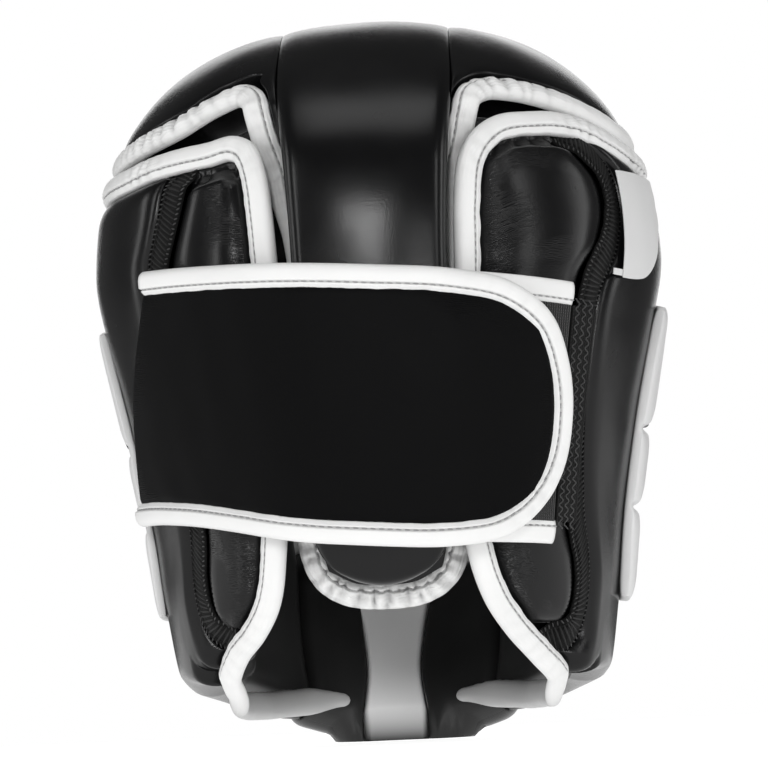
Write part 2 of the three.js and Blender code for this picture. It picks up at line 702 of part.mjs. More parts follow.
// The leather tongue below it. The crown's binding sinks from the form to it behind the flaps' corners.
const tailLift = spineProud - spineThick - layGap - tailThick / 2 - 0.6;
const tailBindLift = tailLift - 2;
const bindLift = -bindThick / 2 + 1;
function sink(p) {
  const low = smooth((sinkRise - p.z / height) / sinkFall);
  const near = smooth((36 - Math.abs(turnOf(p))) / 9);
  return (tailBindLift - bindLift) * low * near;
}
const tailEdge = between(crownCourse, 'neck', 'bend');
function tailBase() {
  const tip = between(crownCourse, 'bend', 'tip');
  const { turn, turnR, rise } = tailEdge[0];
  return pad(
    {
      rear: lineOf(tailEdge, 1),
      front: lineOf(tailEdge, -1),
      top: line([turn, turn / 2, 0, -turnR / 2, -turnR].map((place) => formPoint({ turn: place, rise }))),
      bottom: bothSides(tip, () => 1),
    },
    {
      outer: tailLift + tailThick / 2,
      inner: tailLift - tailThick / 2,
      round: 1.4,
      rim: 0.9,
      step: 19,
      trims: { rear: wideTrim + 1.6, front: wideTrim + 1.6, bottom: wideTrim + 2 },
    },
  );
}
add('tail_base', tailBase(), black);
add('crown_binding', band(bothSides(crownCourse), {
  wide: bindWide,
  thick: bindThick,
  lift: (p) => bindLift + sink(p),
  from: 0.007,
  to: 0.993,
  step: 11,
}), white);

// The front: forehead pad, face binding and the chin guard's three parts.
function browPad() {
  return pad(
    {
      rear: lineOf(browSeam, 1),
      front: lineOf(browSeam, -1),
      top: foreheadEdge,
      bottom: bothSides(between(faceCourse, 'corner', 'brow')),
    },
    { outer: browProud, inner: browProud - browThick, round: 10, step: 15, trims: { bottom: wideTrim + 4 } },
  );
}
add('forehead_pad', browPad(), black);

const faceBindLift = -9;
function faceLoop() {
  const down = faceCourse.map((row) => formPoint(row, 1));
  const up = faceCourse.slice(1, -1).reverse().map((row) => formPoint(row, -1));
  const points = [...down, ...up, down[0]];
  return line(points);
}
add('face_binding', band(faceLoop(), {
  wide: bindWide,
  thick: bindThick,
  lift: faceBindLift,
  step: 11,
  closed: true,
}), white);

function chinLine(side) {
  const points = chinStrip.map(({ rise, half }) => {
    const { side: reach, front } = reaches(rise * height);
    const x = side * half * width;
    return new THREE.Vector3(x, -front * (1 - Math.abs(x / reach) ** squareness) ** (1 / squareness), rise * height);
  });
  return line(points, points.map(() => 0.1));
}
function chinHalf(side) {
  const middle = chinLine(side);
  const topRows = between(faceCourse, 'jaw', 'chin').slice(0, -1);
  const rimRows = between(lowerRim, 'jaw', 'strip').slice(0, -1);
  return pad(
    {
      rear: lineOf(chinSeam, side),
      front: middle,
      top: line([...topRows.map((row) => formPoint(row, side)), middle.at(0)], [...topRows, 0].map(() => 1)),
      bottom: line([...rimRows.map((row) => formPoint(row, side)), middle.at(1)]),
    },
    { outer: 0, inner: -chinThick, round: 11, step: 20 },
  );
}
function chinMiddle() {
  const top = [1, 0, -1].map((side) => chinLine(side || 1).at(0).multiply(new THREE.Vector3(side, 1, 1)));
  const bottom = [1, 0, -1].map((side) => chinLine(side || 1).at(1).multiply(new THREE.Vector3(side, 1, 1)));
  return pad(
    {
      rear: chinLine(1),
      front: chinLine(-1),
      top: line(top.map(seat), [1, 1, 1]),
      bottom: line(bottom.map(seat)),
    },
    { outer: 1, inner: -chinThick, round: 6, step: 20 },
  );
}
add('chin_pad_l', chinHalf(1), black);
add('chin_pad_r', chinHalf(-1), black);
add('chin_strip', chinMiddle(), pale);

// One side of the headgear, mirrored for the other.
function earCutter(side) {
  const shape = new THREE.Shape();
  shape.absellipse(0, 0, earHalfWide, earHalfHigh, 0, 2 * Math.PI);
  const deep = 2 * (shellThick + guardThick);
  const geometry = new THREE.ExtrudeGeometry(shape, { depth: deep, bevelEnabled: false, curveSegments: 10 });
  const centre = formPoint(earHole, side);
  geometry.translate(0, 0, -deep / 2);
  geometry.applyMatrix4(new THREE.Matrix4().makeBasis(new THREE.Vector3(0, 1, 0), axisUp, new THREE.Vector3(1, 0, 0)));
  return geometry.translate(centre.x, centre.y, centre.z);
}
function earRing(side) {
  const centre = formPoint(earHole, side);
  const points = [];
  const count = 20;
  const inset = earRingWide / 2 + layGap + 0.6;
  for (let i = 0; i <= count; i += 1) {
    const angle = (i / count) * 2 * Math.PI;
    const p = new THREE.Vector3(centre.x, (earHalfWide - inset) * Math.cos(angle), (earHalfHigh - inset) * Math.sin(angle));
    p.y += centre.y;
    p.z += centre.z;
    points.push(seat(p));
  }
  return band(line(points), {
    wide: earRingWide,
    thick: earRingThick,
    lift: guardThick - earRingThick / 2,
    step: 5.5,
    closed: true,
  });
}
function guardRelief(u, v, p) {
  const tall = (guardRear[0].rise - guardRear[guardRear.length - 1].rise) * height;
  const groove = (at) => Math.exp(-((((v - at) * tall) / 2.2) ** 2));
  return -guardGroove * guardChannels.reduce((sum, at) => sum + groove(at), 0);
}
function half(side, tag) {
  const shellRear = between(tapeCourse, 'top', 'end');
  const shellTop = [...between(flapCourse, 'tapeTop', 'brow'), browSeam[1]];
  const shellFront = [browSeam[1], ...browSeam.slice(2, -1), ...between(faceCourse, 'corner', 'jaw'), ...chinSeam.slice(1)];
  const shellBottom = [...between(flapCourse, 'tapeEnd', 'foot'), ...lowerRim.slice(1, 7)];
  const shell = pad(
    {
      rear: lineOf(shellRear, side),
      front: lineOf(shellFront, side),
      top: lineOf(shellTop, side),
      bottom: lineOf(shellBottom, side),
    },
    { outer: 0, inner: -shellThick, round: 11, step: 20, trims: { rear: tapeTrim + 1.2, top: wideTrim, bottom: wideTrim, front: wideTrim + 0.6 } },
  );
  add(`side_shell_${tag}`, cut(shell, earCutter(side)), black);

  const flapRear = between(flapCourse, 'corner', 'heel');
  const flapFront = between(tapeCourse, 'top', 'heel');
  const flapTop = between(flapCourse, 'corner', 'tapeTop');
  add(`flap_${tag}`, pad(
    {
      rear: lineOf(flapRear, side),
      front: lineOf(flapFront, side),
      top: lineOf(flapTop, side),
      bottom: lineOf([flapRear[flapRear.length - 1], flapFront[flapFront.length - 1]].map((row) => ({ ...row, bound: 0 })), side),
    },
    { outer: 0, inner: -flapThick, round: 8, step: 20, trims: { front: tapeTrim - 1.7, rear: wideTrim + 0.2, top: wideTrim + (side > 0 ? -0.2 : 0.6) } },
  ), black);

  const tapePath = lineOf(tapeCourse, side);
  const tapeStart = (bindWide / 2 + tapeWide * 0.5) / tapePath.length;
  const tapeStop = 1 - (bindWide / 2 + tapeWide * 0.75) / tapePath.length;
  add(`edge_tape_${tag}`, band(tapePath, {
    wide: tapeWide,
    thick: tapeThick,
    lift: -tapeSink,
    tilt: -side * tapeSink,
    from: tapeStart,
    to: tapeStop,
    step: 13,
  }), web);

  add(`flap_binding_${tag}`, band(lineOf(between(flapCourse, 'brow', 'foot'), side), {
    wide: bindWide,
    thick: bindThick,
    lift: bindLift,
    step: 12,
  }), white);

  const rim = lineOf(rimCourse, side);
  add(`rim_binding_${tag}`, band(rim, {
    wide: bindWide,
    thick: bindThick,
    lift: (p, share) => rim.lift(share) * (shellThick + bindThick),
    from: (seamGap * 2) / rim.length,
    step: 16,
  }), white);

  // The wing's inner edge follows the spine pad from above the tongue to the forehead pad.
  const inner = spineSide(side, wingRootOver);
  const outer = [...between(crownCourse, 'root', 'brow'), foreheadTop[0]];
  add(`crown_wing_${tag}`, pad(
    {
      rear: line([inner.at(0), formPoint(outer[0], side)]),
      front: stretch(foreheadEdge, spineFront[side], side > 0 ? 0 : 1),
      top: inner,
      bottom: lineOf(outer, side),
    },
    { outer: sink, inner: -wingThick, round: 4.5, step: 16, trims: { bottom: wideTrim + 1.1 } },
  ), black);

  const guard = pad(
    {
      rear: lineOf(guardRear, side),
      front: lineOf(guardFront, side),
      top: lineOf(guardTop, side),
      bottom: lineOf(guardBottom, side),
    },
    {
      outer: guardThick,
      inner: layGap,
      round: 8,
      step: 22,
      relief: guardRelief,
      rows: guardChannels.flatMap((at) => [at - 0.035, at, at + 0.035]),
    },
  );
  add(`cheek_guard_${tag}`, cut(guard, earCutter(side)), white);
  add(`ear_ring_${tag}`, earRing(side), black);
}
half(1, 'l');
half(-1, 'r');

// The straps across the back.
function strapPanel(edges, trim, options) {
  const bound = (rows, value) => rows.map((row) => ({ ...row, bound: value }));
  return pad(
    {
      rear: lineOf(bound(edges.rear, edges.rearBound)),
      front: lineOf(bound(edges.front, edges.frontBound)),
      top: lineOf(bound(edges.top, 1)),
      bottom: lineOf(bound(edges.bottom, 1)),
    },
    { trims: { rear: trim, front: trim, top: trim, bottom: trim }, ...options },
  );
}
const strapTrim = strapBindWide / 2 + seamGap + 1.9;
add('closure_strap', strapPanel(
  { rear: closureRoot, front: closureEnd, top: closureTop, bottom: closureBottom, rearBound: 0, frontBound: 1 },
  strapTrim,
  { outer: closureOuter, inner: closureInner, round: 2.5, rim: closureThick * 0.3, step: 15 },
), black);
const closureRim = lineOf([...closureTop, ...closureEnd.slice(1, -1), ...[...closureBottom].reverse()]);
add('closure_binding', band(closureRim, {
  wide: strapBindWide,
  thick: strapBindThick,
  lift: (p) => closureInner(p) + strapBindThick / 2,
  step: 11,
}), white);

const loopRow = (turn, share) => {
  const along = Math.max(0, turn / loopEdges.sewn);
  const top = mix(loopEdges.top, loopEdges.topEnd, along);
  return { turn, rise: mix(top, mix(loopEdges.bottom, loopEdges.bottomEnd, along), share) };
};
const loopTurns = (from, to, share) => [0, 1, 2, 3, 4].map((i) => loopRow(mix(from, to, i / 4), share));
const across = (turn) => [0, 0.33, 0.67, 1].map((share) => loopRow(turn, share));
[['loop_strap', loopEdges.hidden, loopEdges.bindingEnd], ['elastic', loopEdges.bindingEnd + 0.35, loopEdges.sewn]].forEach(
  ([name, from, to]) => {
    add(name, strapPanel(
      {
        rear: across(from),
        front: across(to),
        top: loopTurns(from, to, 0),
        bottom: loopTurns(from, to, 1),
        rearBound: 0,
        frontBound: 0,
      },
      strapTrim,
      { outer: loopOuter, inner: loopInner, round: 1.5, rim: loopThick * 0.3, step: 18 },
    ), web);
  },
);
[['top', 0], ['bottom', 1]].forEach(([tag, share]) => {
  add(`loop_binding_${tag}`, band(lineOf(loopTurns(loopEdges.hidden, loopEdges.bindingEnd, share)), {
    wide: strapBindWide,
    thick: loopThick,
    lift: (p) => loopInner(p) + loopThick / 2,
    step: 11,
  }), white);
});

// The care label sewn on the wearer's right side shell.
const labelLift = layGap + 0.3;
const labelRows = (turn, low) => [0, 0.5, 1].map((share) => ({ turn, rise: mix(labelEdges.top, low, share) }));
const labelLow = (share) => ({
  turn: mix(labelEdges.rear, labelEdges.front, share),
  rise: mix(labelEdges.bottom, labelEdges.cut, share ** 3),
});
add('care_label', pad(
  {
    rear: lineOf(labelRows(labelEdges.rear, labelEdges.bottom)),
    front: lineOf(labelRows(labelEdges.front, labelEdges.cut)),
    top: lineOf([labelRows(labelEdges.rear, 0)[0], labelRows(labelEdges.front, 0)[0]]),
    bottom: lineOf([0, 0.5, 1].map(labelLow)),
  },
  { outer: labelLift + labelThick, inner: labelLift, round: 0.6, rim: labelThick * 0.3, step: 14 },
), paper);

// The lowest leather is pressed flat where it rests, and the origin is the middle of the box it then stands in.
const floor = new THREE.BoxGeometry(2 * width, 4 * frontReach, height).translate(0, 0, -height / 2);
headgear.children
  .filter((mesh) => new THREE.Box3().setFromObject(mesh).min.z < 0)
  .forEach((mesh) => {
    mesh.geometry = cut(mesh.geometry, floor);
  });
const box = new THREE.Box3().setFromObject(headgear);
const middle = box.getCenter(new THREE.Vector3());
headgear.position.set(-middle.x, -middle.y, 0);

export default headgear;
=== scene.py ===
import math

import bmesh
import bpy
import numpy as np
from mathutils import Matrix, Vector


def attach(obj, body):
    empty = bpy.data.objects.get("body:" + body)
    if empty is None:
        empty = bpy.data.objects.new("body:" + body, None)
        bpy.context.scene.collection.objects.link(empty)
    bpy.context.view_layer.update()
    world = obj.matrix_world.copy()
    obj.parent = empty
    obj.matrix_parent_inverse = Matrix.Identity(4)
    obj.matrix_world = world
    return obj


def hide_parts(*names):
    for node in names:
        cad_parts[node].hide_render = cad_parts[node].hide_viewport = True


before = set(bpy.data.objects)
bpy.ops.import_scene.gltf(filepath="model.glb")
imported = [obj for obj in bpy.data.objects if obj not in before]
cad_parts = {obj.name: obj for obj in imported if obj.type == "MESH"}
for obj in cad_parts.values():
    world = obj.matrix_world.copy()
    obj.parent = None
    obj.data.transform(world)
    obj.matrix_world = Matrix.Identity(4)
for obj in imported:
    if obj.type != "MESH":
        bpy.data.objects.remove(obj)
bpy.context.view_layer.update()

print("frame loaded:", len(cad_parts), "nodes")

# Lengths are in millimetres up to the moment a mesh is made, as in the part's source.
# +Z is up, the face looks along -Y. turn is in degrees round the head from the back, rise is a share of the height.
form = {"height": 280.0, "width": 220.0, "front": 130.0, "back": 114.0, "brow": 0.66, "power": 2.25}
middle = np.array([0.0, -1.0665, 0.0])  # from the form's centre to the frame's
sections = {
    "rise": (0, 0.1, 0.19, 0.3, 0.425, 0.55, 0.66),
    "side": (0.69, 0.76, 0.795, 0.83, 0.885, 0.95, 1),
    "front": (0.8, 0.905, 0.965, 0.985, 0.99, 1, 1),
    "back": (0.66, 0.72, 0.8, 0.88, 0.95, 0.99, 1),
}
domeBase = form["height"] * form["brow"]
domeHigh = form["height"] - domeBase
squareness = form["power"]


# A row is turn and rise, then both again for the wearer's right where they differ, then a mark.
# bound is the share of the pad's trim that counts at a row, lift is a binding's height there.
def course(rows, **columns):
    made = []
    for k, (turn, rise, *rest) in enumerate(rows):
        more = {key: values[k] for key, values in columns.items()}
        if rest and isinstance(rest[-1], str):
            more["mark"] = rest.pop()
        more.update(zip(("turnR", "riseR"), rest))
        made.append((turn, rise, more))
    return made


flapCourse = course([
    (116.5, 0.791, "brow"), (100, 0.784), (86, 0.778), (73, 0.777, 72, 0.785), (60, 0.778, 61, 0.799),
    (49, 0.785, 50, 0.815), (39, 0.789, 43, 0.818, "tapeTop"), (32, 0.791, 34, 0.815), (26.5, 0.796, 27, 0.808),
    (23, 0.786, 22, 0.788, "corner"), (20.4, 0.752, 18.8, 0.757), (19, 0.7, 17.2, 0.7),
    (18.4, 0.63, 16.9, 0.63), (19, 0.52, 17.4, 0.52), (21.2, 0.4, 18.6, 0.4), (24.6, 0.265, 20.6, 0.265),
    (28.2, 0.192, 25.2, 0.192), (33.8, 0.154, 31.6, 0.148, "heel"), (41, 0.126, 40.5, 0.111, "tapeEnd"),
    (46.6, 0.095, 49, 0.082), (49.5, 0.062, 53.6, 0.054, "foot"),
])
tapeCourse = course([
    (39, 0.789, 43, 0.818, "top"), (40.2, 0.757, 48.6, 0.788), (41.2, 0.722, 54, 0.757),
    (43, 0.685, 55.8, 0.715), (45.2, 0.645, 53.8, 0.662), (47, 0.56, 48.2, 0.595), (48, 0.42, 47.6, 0.43),
    (50, 0.29, 51.6, 0.292), (52.3, 0.235, 55.4, 0.238), (52, 0.192, 56.2, 0.19),
    (48.8, 0.16, 53.2, 0.146, "heel"), (41, 0.126, 40.5, 0.111),
])
crownCourse = course([
    (116.5, 0.83, "brow"), (100, 0.824), (86, 0.818, 86, 0.82), (73, 0.817, 72, 0.825), (58, 0.827, 60, 0.839),
    (45, 0.841, 46, 0.858), (35, 0.866, 34, 0.868), (28.6, 0.876, 27, 0.868),
    (24.3, 0.865, 22, 0.855), (22, 0.84, 20, 0.832), (20.6, 0.812, 19, 0.805, "root"),
    (18.8, 0.778, 17.6, 0.774), (17.2, 0.735, 16.6, 0.735, "neck"), (15.8, 0.68, 15.8, 0.68), (15.4, 0.6),
    (16.6, 0.45), (19, 0.295), (18.7, 0.24), (15.8, 0.205, "bend"), (8.8, 0.18), (0, 0.173, "tip"),
])
faceCourse = course([
    (180, 0.706, "brow"), (166, 0.705), (152, 0.7), (143, 0.687), (138.5, 0.66, "corner"), (140, 0.62),
    (145, 0.56), (147.5, 0.49), (147.5, 0.42), (145.5, 0.36), (146, 0.315, "jaw"), (153, 0.283), (165, 0.264),
    (180, 0.259, "chin"),
])
browSeam = course(
    [(117, 0.832), (118.5, 0.79), (121, 0.74), (127, 0.695), (138.5, 0.66)], bound=(0, 0.15, 0.25, 0.25, 1),
)
foreheadTop = course([(117, 0.832), (132, 0.85), (150, 0.867), (165, 0.874), (180, 0.875)], bound=[0] * 5)
chinSeam = course([(146, 0.315), (143, 0.25), (141, 0.15), (141, 0.018)], bound=(1, 0, 0, 0))
lowerRim = course([
    (49.5, 0.062, 53.6, 0.054), (62, 0.062), (76, 0.067), (94, 0.064), (112, 0.052), (128, 0.034),
    (141, 0.018, "jaw"), (156, -0.002), (172.5, -0.014, "strip"), (180, -0.016),
], bound=(1, 1, 0.7, 0, 0, 0, 0, 0, 0, 0))
rimCourse = course([
    (49.5, 0.062, 53.6, 0.054), (58, 0.05, 61, 0.046), (73, 0.04), (92, 0.033), (112, 0.028), (130, 0.023),
    (146, 0.018), (161, 0.011),
], lift=(-0.2, -0.36, -0.58, -0.77, -0.89, -0.94, -0.942, -0.942))
guardRear = [(84, 0.585), (80, 0.52), (78, 0.4), (78.5, 0.28), (81, 0.187)]
guardTop = [(84, 0.585), (100, 0.605), (118, 0.6), (134, 0.575)]
guardFront = [(134, 0.575), (139, 0.53), (140.5, 0.46), (139.5, 0.38), (137, 0.32), (132, 0.26)]
guardBottom = [(81, 0.187), (98, 0.184), (116, 0.204), (132, 0.26)]
closureTop = [(45.5, 0.624), (35, 0.621), (18, 0.614), (0, 0.603), (-12, 0.595), (-22, 0.58), (-30, 0.544)]
closureEnd = [(-30, 0.544), (-34.6, 0.487), (-36.4, 0.43), (-35.4, 0.37), (-31, 0.324)]
closureBottom = [
    (71, 0.327), (56, 0.324), (38, 0.314), (18, 0.298), (0, 0.286), (-12, 0.282), (-23, 0.291), (-31, 0.324),
]
closureRoot = [(45.5, 0.624), (51.5, 0.56), (61, 0.465), (66.5, 0.395), (71, 0.327)]
# The chin strip's rise and half width, a share of the width
chinStripRows = ((0.259, 0.122), (0.19, 0.097), (0.12, 0.076), (0.06, 0.068), (-0.014, 0.088))
# The spine pad's half width, a share of its own, by the angle over the head
spineRows = {
    "over": (-59, -55, -48, -30, 0, 15, 34, 60, 90, 120, 146),
    "half": (0.52, 0.74, 0.85, 0.88, 0.91, 0.96, 1.03, 1.02, 1, 1, 1),
}
bindings = {"wide": 10.0, "thick": 7.0, "lift": -2.5}
layers = {"loop": 3.0, "closure": 5.0, "gap": 0.8, "near": 1.2, "spineProud": 6.0, "guard": 7.0, "browProud": 2.0}
seamDepth = -1.7


def smooth(value):
    t = np.clip(value, 0, 1)
    return t * t * (3 - 2 * t)


def mix(a, b, share):
    return a + (b - a) * share


def power(value, exponent):
    return np.sign(value) * np.abs(value) ** exponent


def unit(vectors):
    return vectors / np.maximum(np.linalg.norm(vectors, axis=-1, keepdims=True), 1e-9)


def column(xs, ys, value):  # smooth curve through a table's column, level at its last row
    xs, ys = np.asarray(xs, float), np.asarray(ys, float)
    v = np.clip(value, xs[0], xs[-1])
    slopes = np.zeros(len(xs))
    for k in range(len(xs) - 1):
        low = max(k - 1, 0)
        slopes[k] = (ys[k + 1] - ys[low]) / (xs[k + 1] - xs[low])
    i = np.clip(np.searchsorted(xs, v, side="left") - 1, 0, len(xs) - 2)
    span = xs[i + 1] - xs[i]
    t = (v - xs[i]) / span
    ends = (2 * t**3 - 3 * t**2 + 1) * ys[i] + (3 * t**2 - 2 * t**3) * ys[i + 1]
    return ends + (t**3 - 2 * t**2 + t) * span * slopes[i] + (t**3 - t**2) * span * slopes[i + 1]


def reaches(z):
    rise = np.maximum(z, 0) / form["height"]
    return (
        form["width"] / 2 * column(sections["rise"], sections["side"], rise),
        form["front"] * column(sections["rise"], sections["front"], rise),
        form["back"] * column(sections["rise"], sections["back"], rise),
    )


def level(p):  # 1 on the form, under 1 inside it
    x, y, z = p[..., 0], p[..., 1], p[..., 2]
    side, front, back = reaches(np.minimum(z, domeBase))
    plan = np.abs(x / side) ** squareness + np.abs(y / np.where(y > 0, back, front)) ** squareness
    over = (np.maximum(z - domeBase, 0) / domeHigh) ** squareness
    return (plan + over) ** (1 / squareness)


def seat(p):  # moves points on to the form
    centre = np.zeros_like(p)
    centre[..., 2] = np.minimum(p[..., 2], domeBase)
    return centre + (p - centre) / level(p)[..., None]


def normalAt(p):
    out = np.zeros_like(p)
    for axis in range(3):
        step = np.zeros(3)
        step[axis] = 0.4
        out[..., axis] = level(p + step) - level(p - step)
    return unit(out)


def formPoint(turn, rise, side=1):
    angle = np.radians(side * np.asarray(turn, float))
    z = np.asarray(rise, float) * form["height"]
    dome = (1 - np.clip((z - domeBase) / domeHigh, 0, 1) ** squareness) ** (1 / squareness)
    half, front, back = reaches(np.minimum(z, domeBase))
    reach = np.where(np.cos(angle) > 0, back, front)
    x = dome * half * power(np.sin(angle), 2 / squareness)
    return np.stack([x, dome * reach * power(np.cos(angle), 2 / squareness), z + 0 * x], -1)


def turnOf(p):
    side, front, back = reaches(np.minimum(p[..., 2], domeBase))
    y = p[..., 1] / np.where(p[..., 1] > 0, back, front)
    return np.degrees(np.arctan2(power(p[..., 0] / side, squareness / 2), power(y, squareness / 2)))


def spinePoint(x, over):
    if over < 0:
        z = domeBase * (1 + over / 90)
        side, front, back = reaches(z)
        return np.array([x, back * (1 - abs(x / side) ** squareness) ** (1 / squareness), z])
    angle = math.radians(over)
    reach = form["back"] if over < 90 else form["front"]
    rest = (1 - abs(2 * x / form["width"]) ** squareness) ** (1 / squareness)
    y = rest * reach * power(math.cos(angle), 2 / squareness)
    return np.array([x, y, domeBase + rest * domeHigh * math.sin(angle) ** (2 / squareness)])


def ripple(x, y, size, seed, octaves=4):  # smooth seeded noise from -1 to 1 over two lengths
    rng = np.random.default_rng(seed)
    total = 0
    for k in range(octaves):
        for _ in range(3):
            a = rng.uniform(0, 2 * math.pi)
            f = 2 * math.pi / size * 1.9**k * rng.uniform(0.7, 1.3)
            total = total + np.sin(f * (x * math.cos(a) + y * math.sin(a)) + rng.uniform(0, 7)) / 1.8**k
    return total / 4.2


spanSteps = 60  # measuring steps between two points of an edge


class Edge:  # a smooth line through points, read by its share of length
    def __init__(self, points, bounds=None, lifts=None):
        self.points = np.asarray(points, float)
        n = len(self.points)
        self.bounds = np.zeros(n) if bounds is None else np.asarray(bounds, float)
        self.lifts = np.zeros(n) if lifts is None else np.asarray(lifts, float)
        self.places = np.linspace(0, n - 1, spanSteps * (n - 1) + 1)
        steps = np.linalg.norm(np.diff(self.curve(self.places), axis=0), axis=1)
        self.reach = np.concatenate([[0], np.cumsum(steps)])
        self.length = self.reach[-1]

    def curve(self, place):
        p, n = self.points, len(self.points)
        i = np.clip(np.floor(place).astype(int), 0, n - 2)
        t = (place - i)[..., None]
        padded = np.concatenate([[2 * p[0] - p[1]], p, [2 * p[-1] - p[-2]]])
        x0, x1, x2, x3 = (padded[i + k] for k in range(4))
        pairs = (x0, x1), (x1, x2), (x2, x3)
        d0, d1, d2 = (np.sqrt(np.linalg.norm(b - a, axis=-1))[..., None] for a, b in pairs)
        t1 = ((x1 - x0) / d0 - (x2 - x0) / (d0 + d1) + (x2 - x1) / d1) * d1
        t2 = ((x2 - x1) / d1 - (x3 - x1) / (d1 + d2) + (x3 - x2) / d2) * d1
        return x1 + t1 * t + (-3 * x1 + 3 * x2 - 2 * t1 - t2) * t**2 + (2 * x1 - 2 * x2 + t1 + t2) * t**3

    def place(self, share):
        return np.interp(np.clip(share, 0, 1) * self.length, self.reach, self.places)

    def at(self, share):
        return self.curve(self.place(np.asarray(share, float)))

    def read(self, values, share):
        return np.interp(self.place(np.asarray(share, float)), np.arange(len(self.points)), values)

    def bound(self, share):
        return self.read(self.bounds, share)

    def lift(self, share):
        return self.read(self.lifts, share)


class Stretch:  # a part of an edge, read by its own share
    def __init__(self, whole, start, stop):
        self.whole, self.start, self.stop = whole, start, stop
        self.length = whole.length * abs(stop - start)

    def at(self, share):
        return self.whole.at(mix(self.start, self.stop, np.asarray(share, float)))

    def bound(self, share):
        return self.whole.bound(mix(self.start, self.stop, np.asarray(share, float)))


def rowOf(row, side, bound=1.0):
    turn, rise, more = (*row, {})[:3]
    if side < 0:
        turn, rise = more.get("turnR", turn), more.get("riseR", rise)
    return formPoint(turn, rise, side), more.get("bound", bound), more.get("lift", 0)


def edgeOf(rows, side=1, bound=1.0):
    made = [rowOf(row, side, bound) for row in rows]
    return Edge([m[0] for m in made], [m[1] for m in made], [m[2] for m in made])


def edgesOf(side, *courses, bound=1.0):
    return tuple(edgeOf(rows, side, bound) for rows in courses)


def between(rows, start, stop):
    marks = [row[2].get("mark") for row in rows]
    a, b = marks.index(start), marks.index(stop)
    return rows[a : b + 1] if a <= b else rows[b : a + 1][::-1]


def changed(rows, **values):
    return [(*row[:2], {**(*row, {})[2], **values}) for row in rows]


def bothSides(rows):
    made = [rowOf(row, 1) for row in rows] + [rowOf(row, -1) for row in rows[:-1][::-1]]
    return Edge([m[0] for m in made], [m[1] for m in made])


def metres(points):
    return (np.asarray(points) + middle) / 1000


def linked(name, mesh):
    piece = bpy.data.objects.new(name, mesh)
    bpy.context.scene.collection.objects.link(piece)
    return piece


def floats(mesh, key, values):
    mesh.attributes.new(key, "FLOAT", "POINT").data.foreach_set("value", np.asarray(values, np.float32).ravel())


def meshPiece(name, points, faces, finish, maps=None, values=None):
    mesh = bpy.data.meshes.new(name)
    mesh.from_pydata(metres(points).tolist(), [], faces)
    if maps is not None:  # lengths along the piece's own surface, in metres
        layer = mesh.uv_layers.new(name="lay")
        corners = np.zeros(len(mesh.loops), int)
        mesh.loops.foreach_get("vertex_index", corners)
        layer.data.foreach_set("uv", (np.asarray(maps, float)[corners] / 1000).ravel())
    for key, value in (values or {}).items():
        floats(mesh, key, value)
    mesh.polygons.foreach_set("use_smooth", [True] * len(mesh.polygons))
    mesh.materials.append(finish)
    return linked(name, mesh)


def outward(piece):
    work = bmesh.new()
    work.from_mesh(piece.data)
    bmesh.ops.recalc_face_normals(work, faces=work.faces)
    if work.calc_volume(signed=True) < 0:
        bmesh.ops.reverse_faces(work, faces=work.faces)
    work.to_mesh(piece.data)
    work.free()
    return piece


def apply(piece, modifier):
    bpy.context.view_layer.update()
    graph = bpy.context.evaluated_depsgraph_get()
    made = bpy.data.meshes.new_from_object(piece.evaluated_get(graph), preserve_all_data_layers=True, depsgraph=graph)
    piece.modifiers.remove(modifier)
    piece.data = made
    made.name = piece.name
    return piece


def rideAs(piece):
    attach(piece, "root")


def settle(piece, nodes):
    rideAs(piece)
    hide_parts(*nodes)


def stops(length, rounding, step, extra=()):  # shares of a length, closer together where it rounds over
    arc = rounding * (1 - np.cos(np.linspace(0, math.pi / 2, 9)))
    inner = max(2, round((length - 2 * rounding) / step))
    flat = np.linspace(rounding, length - rounding, inner + 1)[1:-1]
    places = np.concatenate([arc, flat, length - arc[::-1]]) / length
    for at, half in extra:
        places = np.concatenate([places, at + half * np.linspace(-1, 1, 15)])
    return np.unique(np.round(places, 5))


def quarter(distance, rounding):
    return np.sqrt(np.maximum(0, 1 - (1 - np.clip(distance / rounding, 0, 1)) ** 2))


def uneven(depth, length, seed, fade=10.0, octaves=2):  # soft dents that fade towards the seams
    return lambda u, v, p, x, y, near: depth * ripple(x, y, length, seed, octaves) * smooth(near / fade)


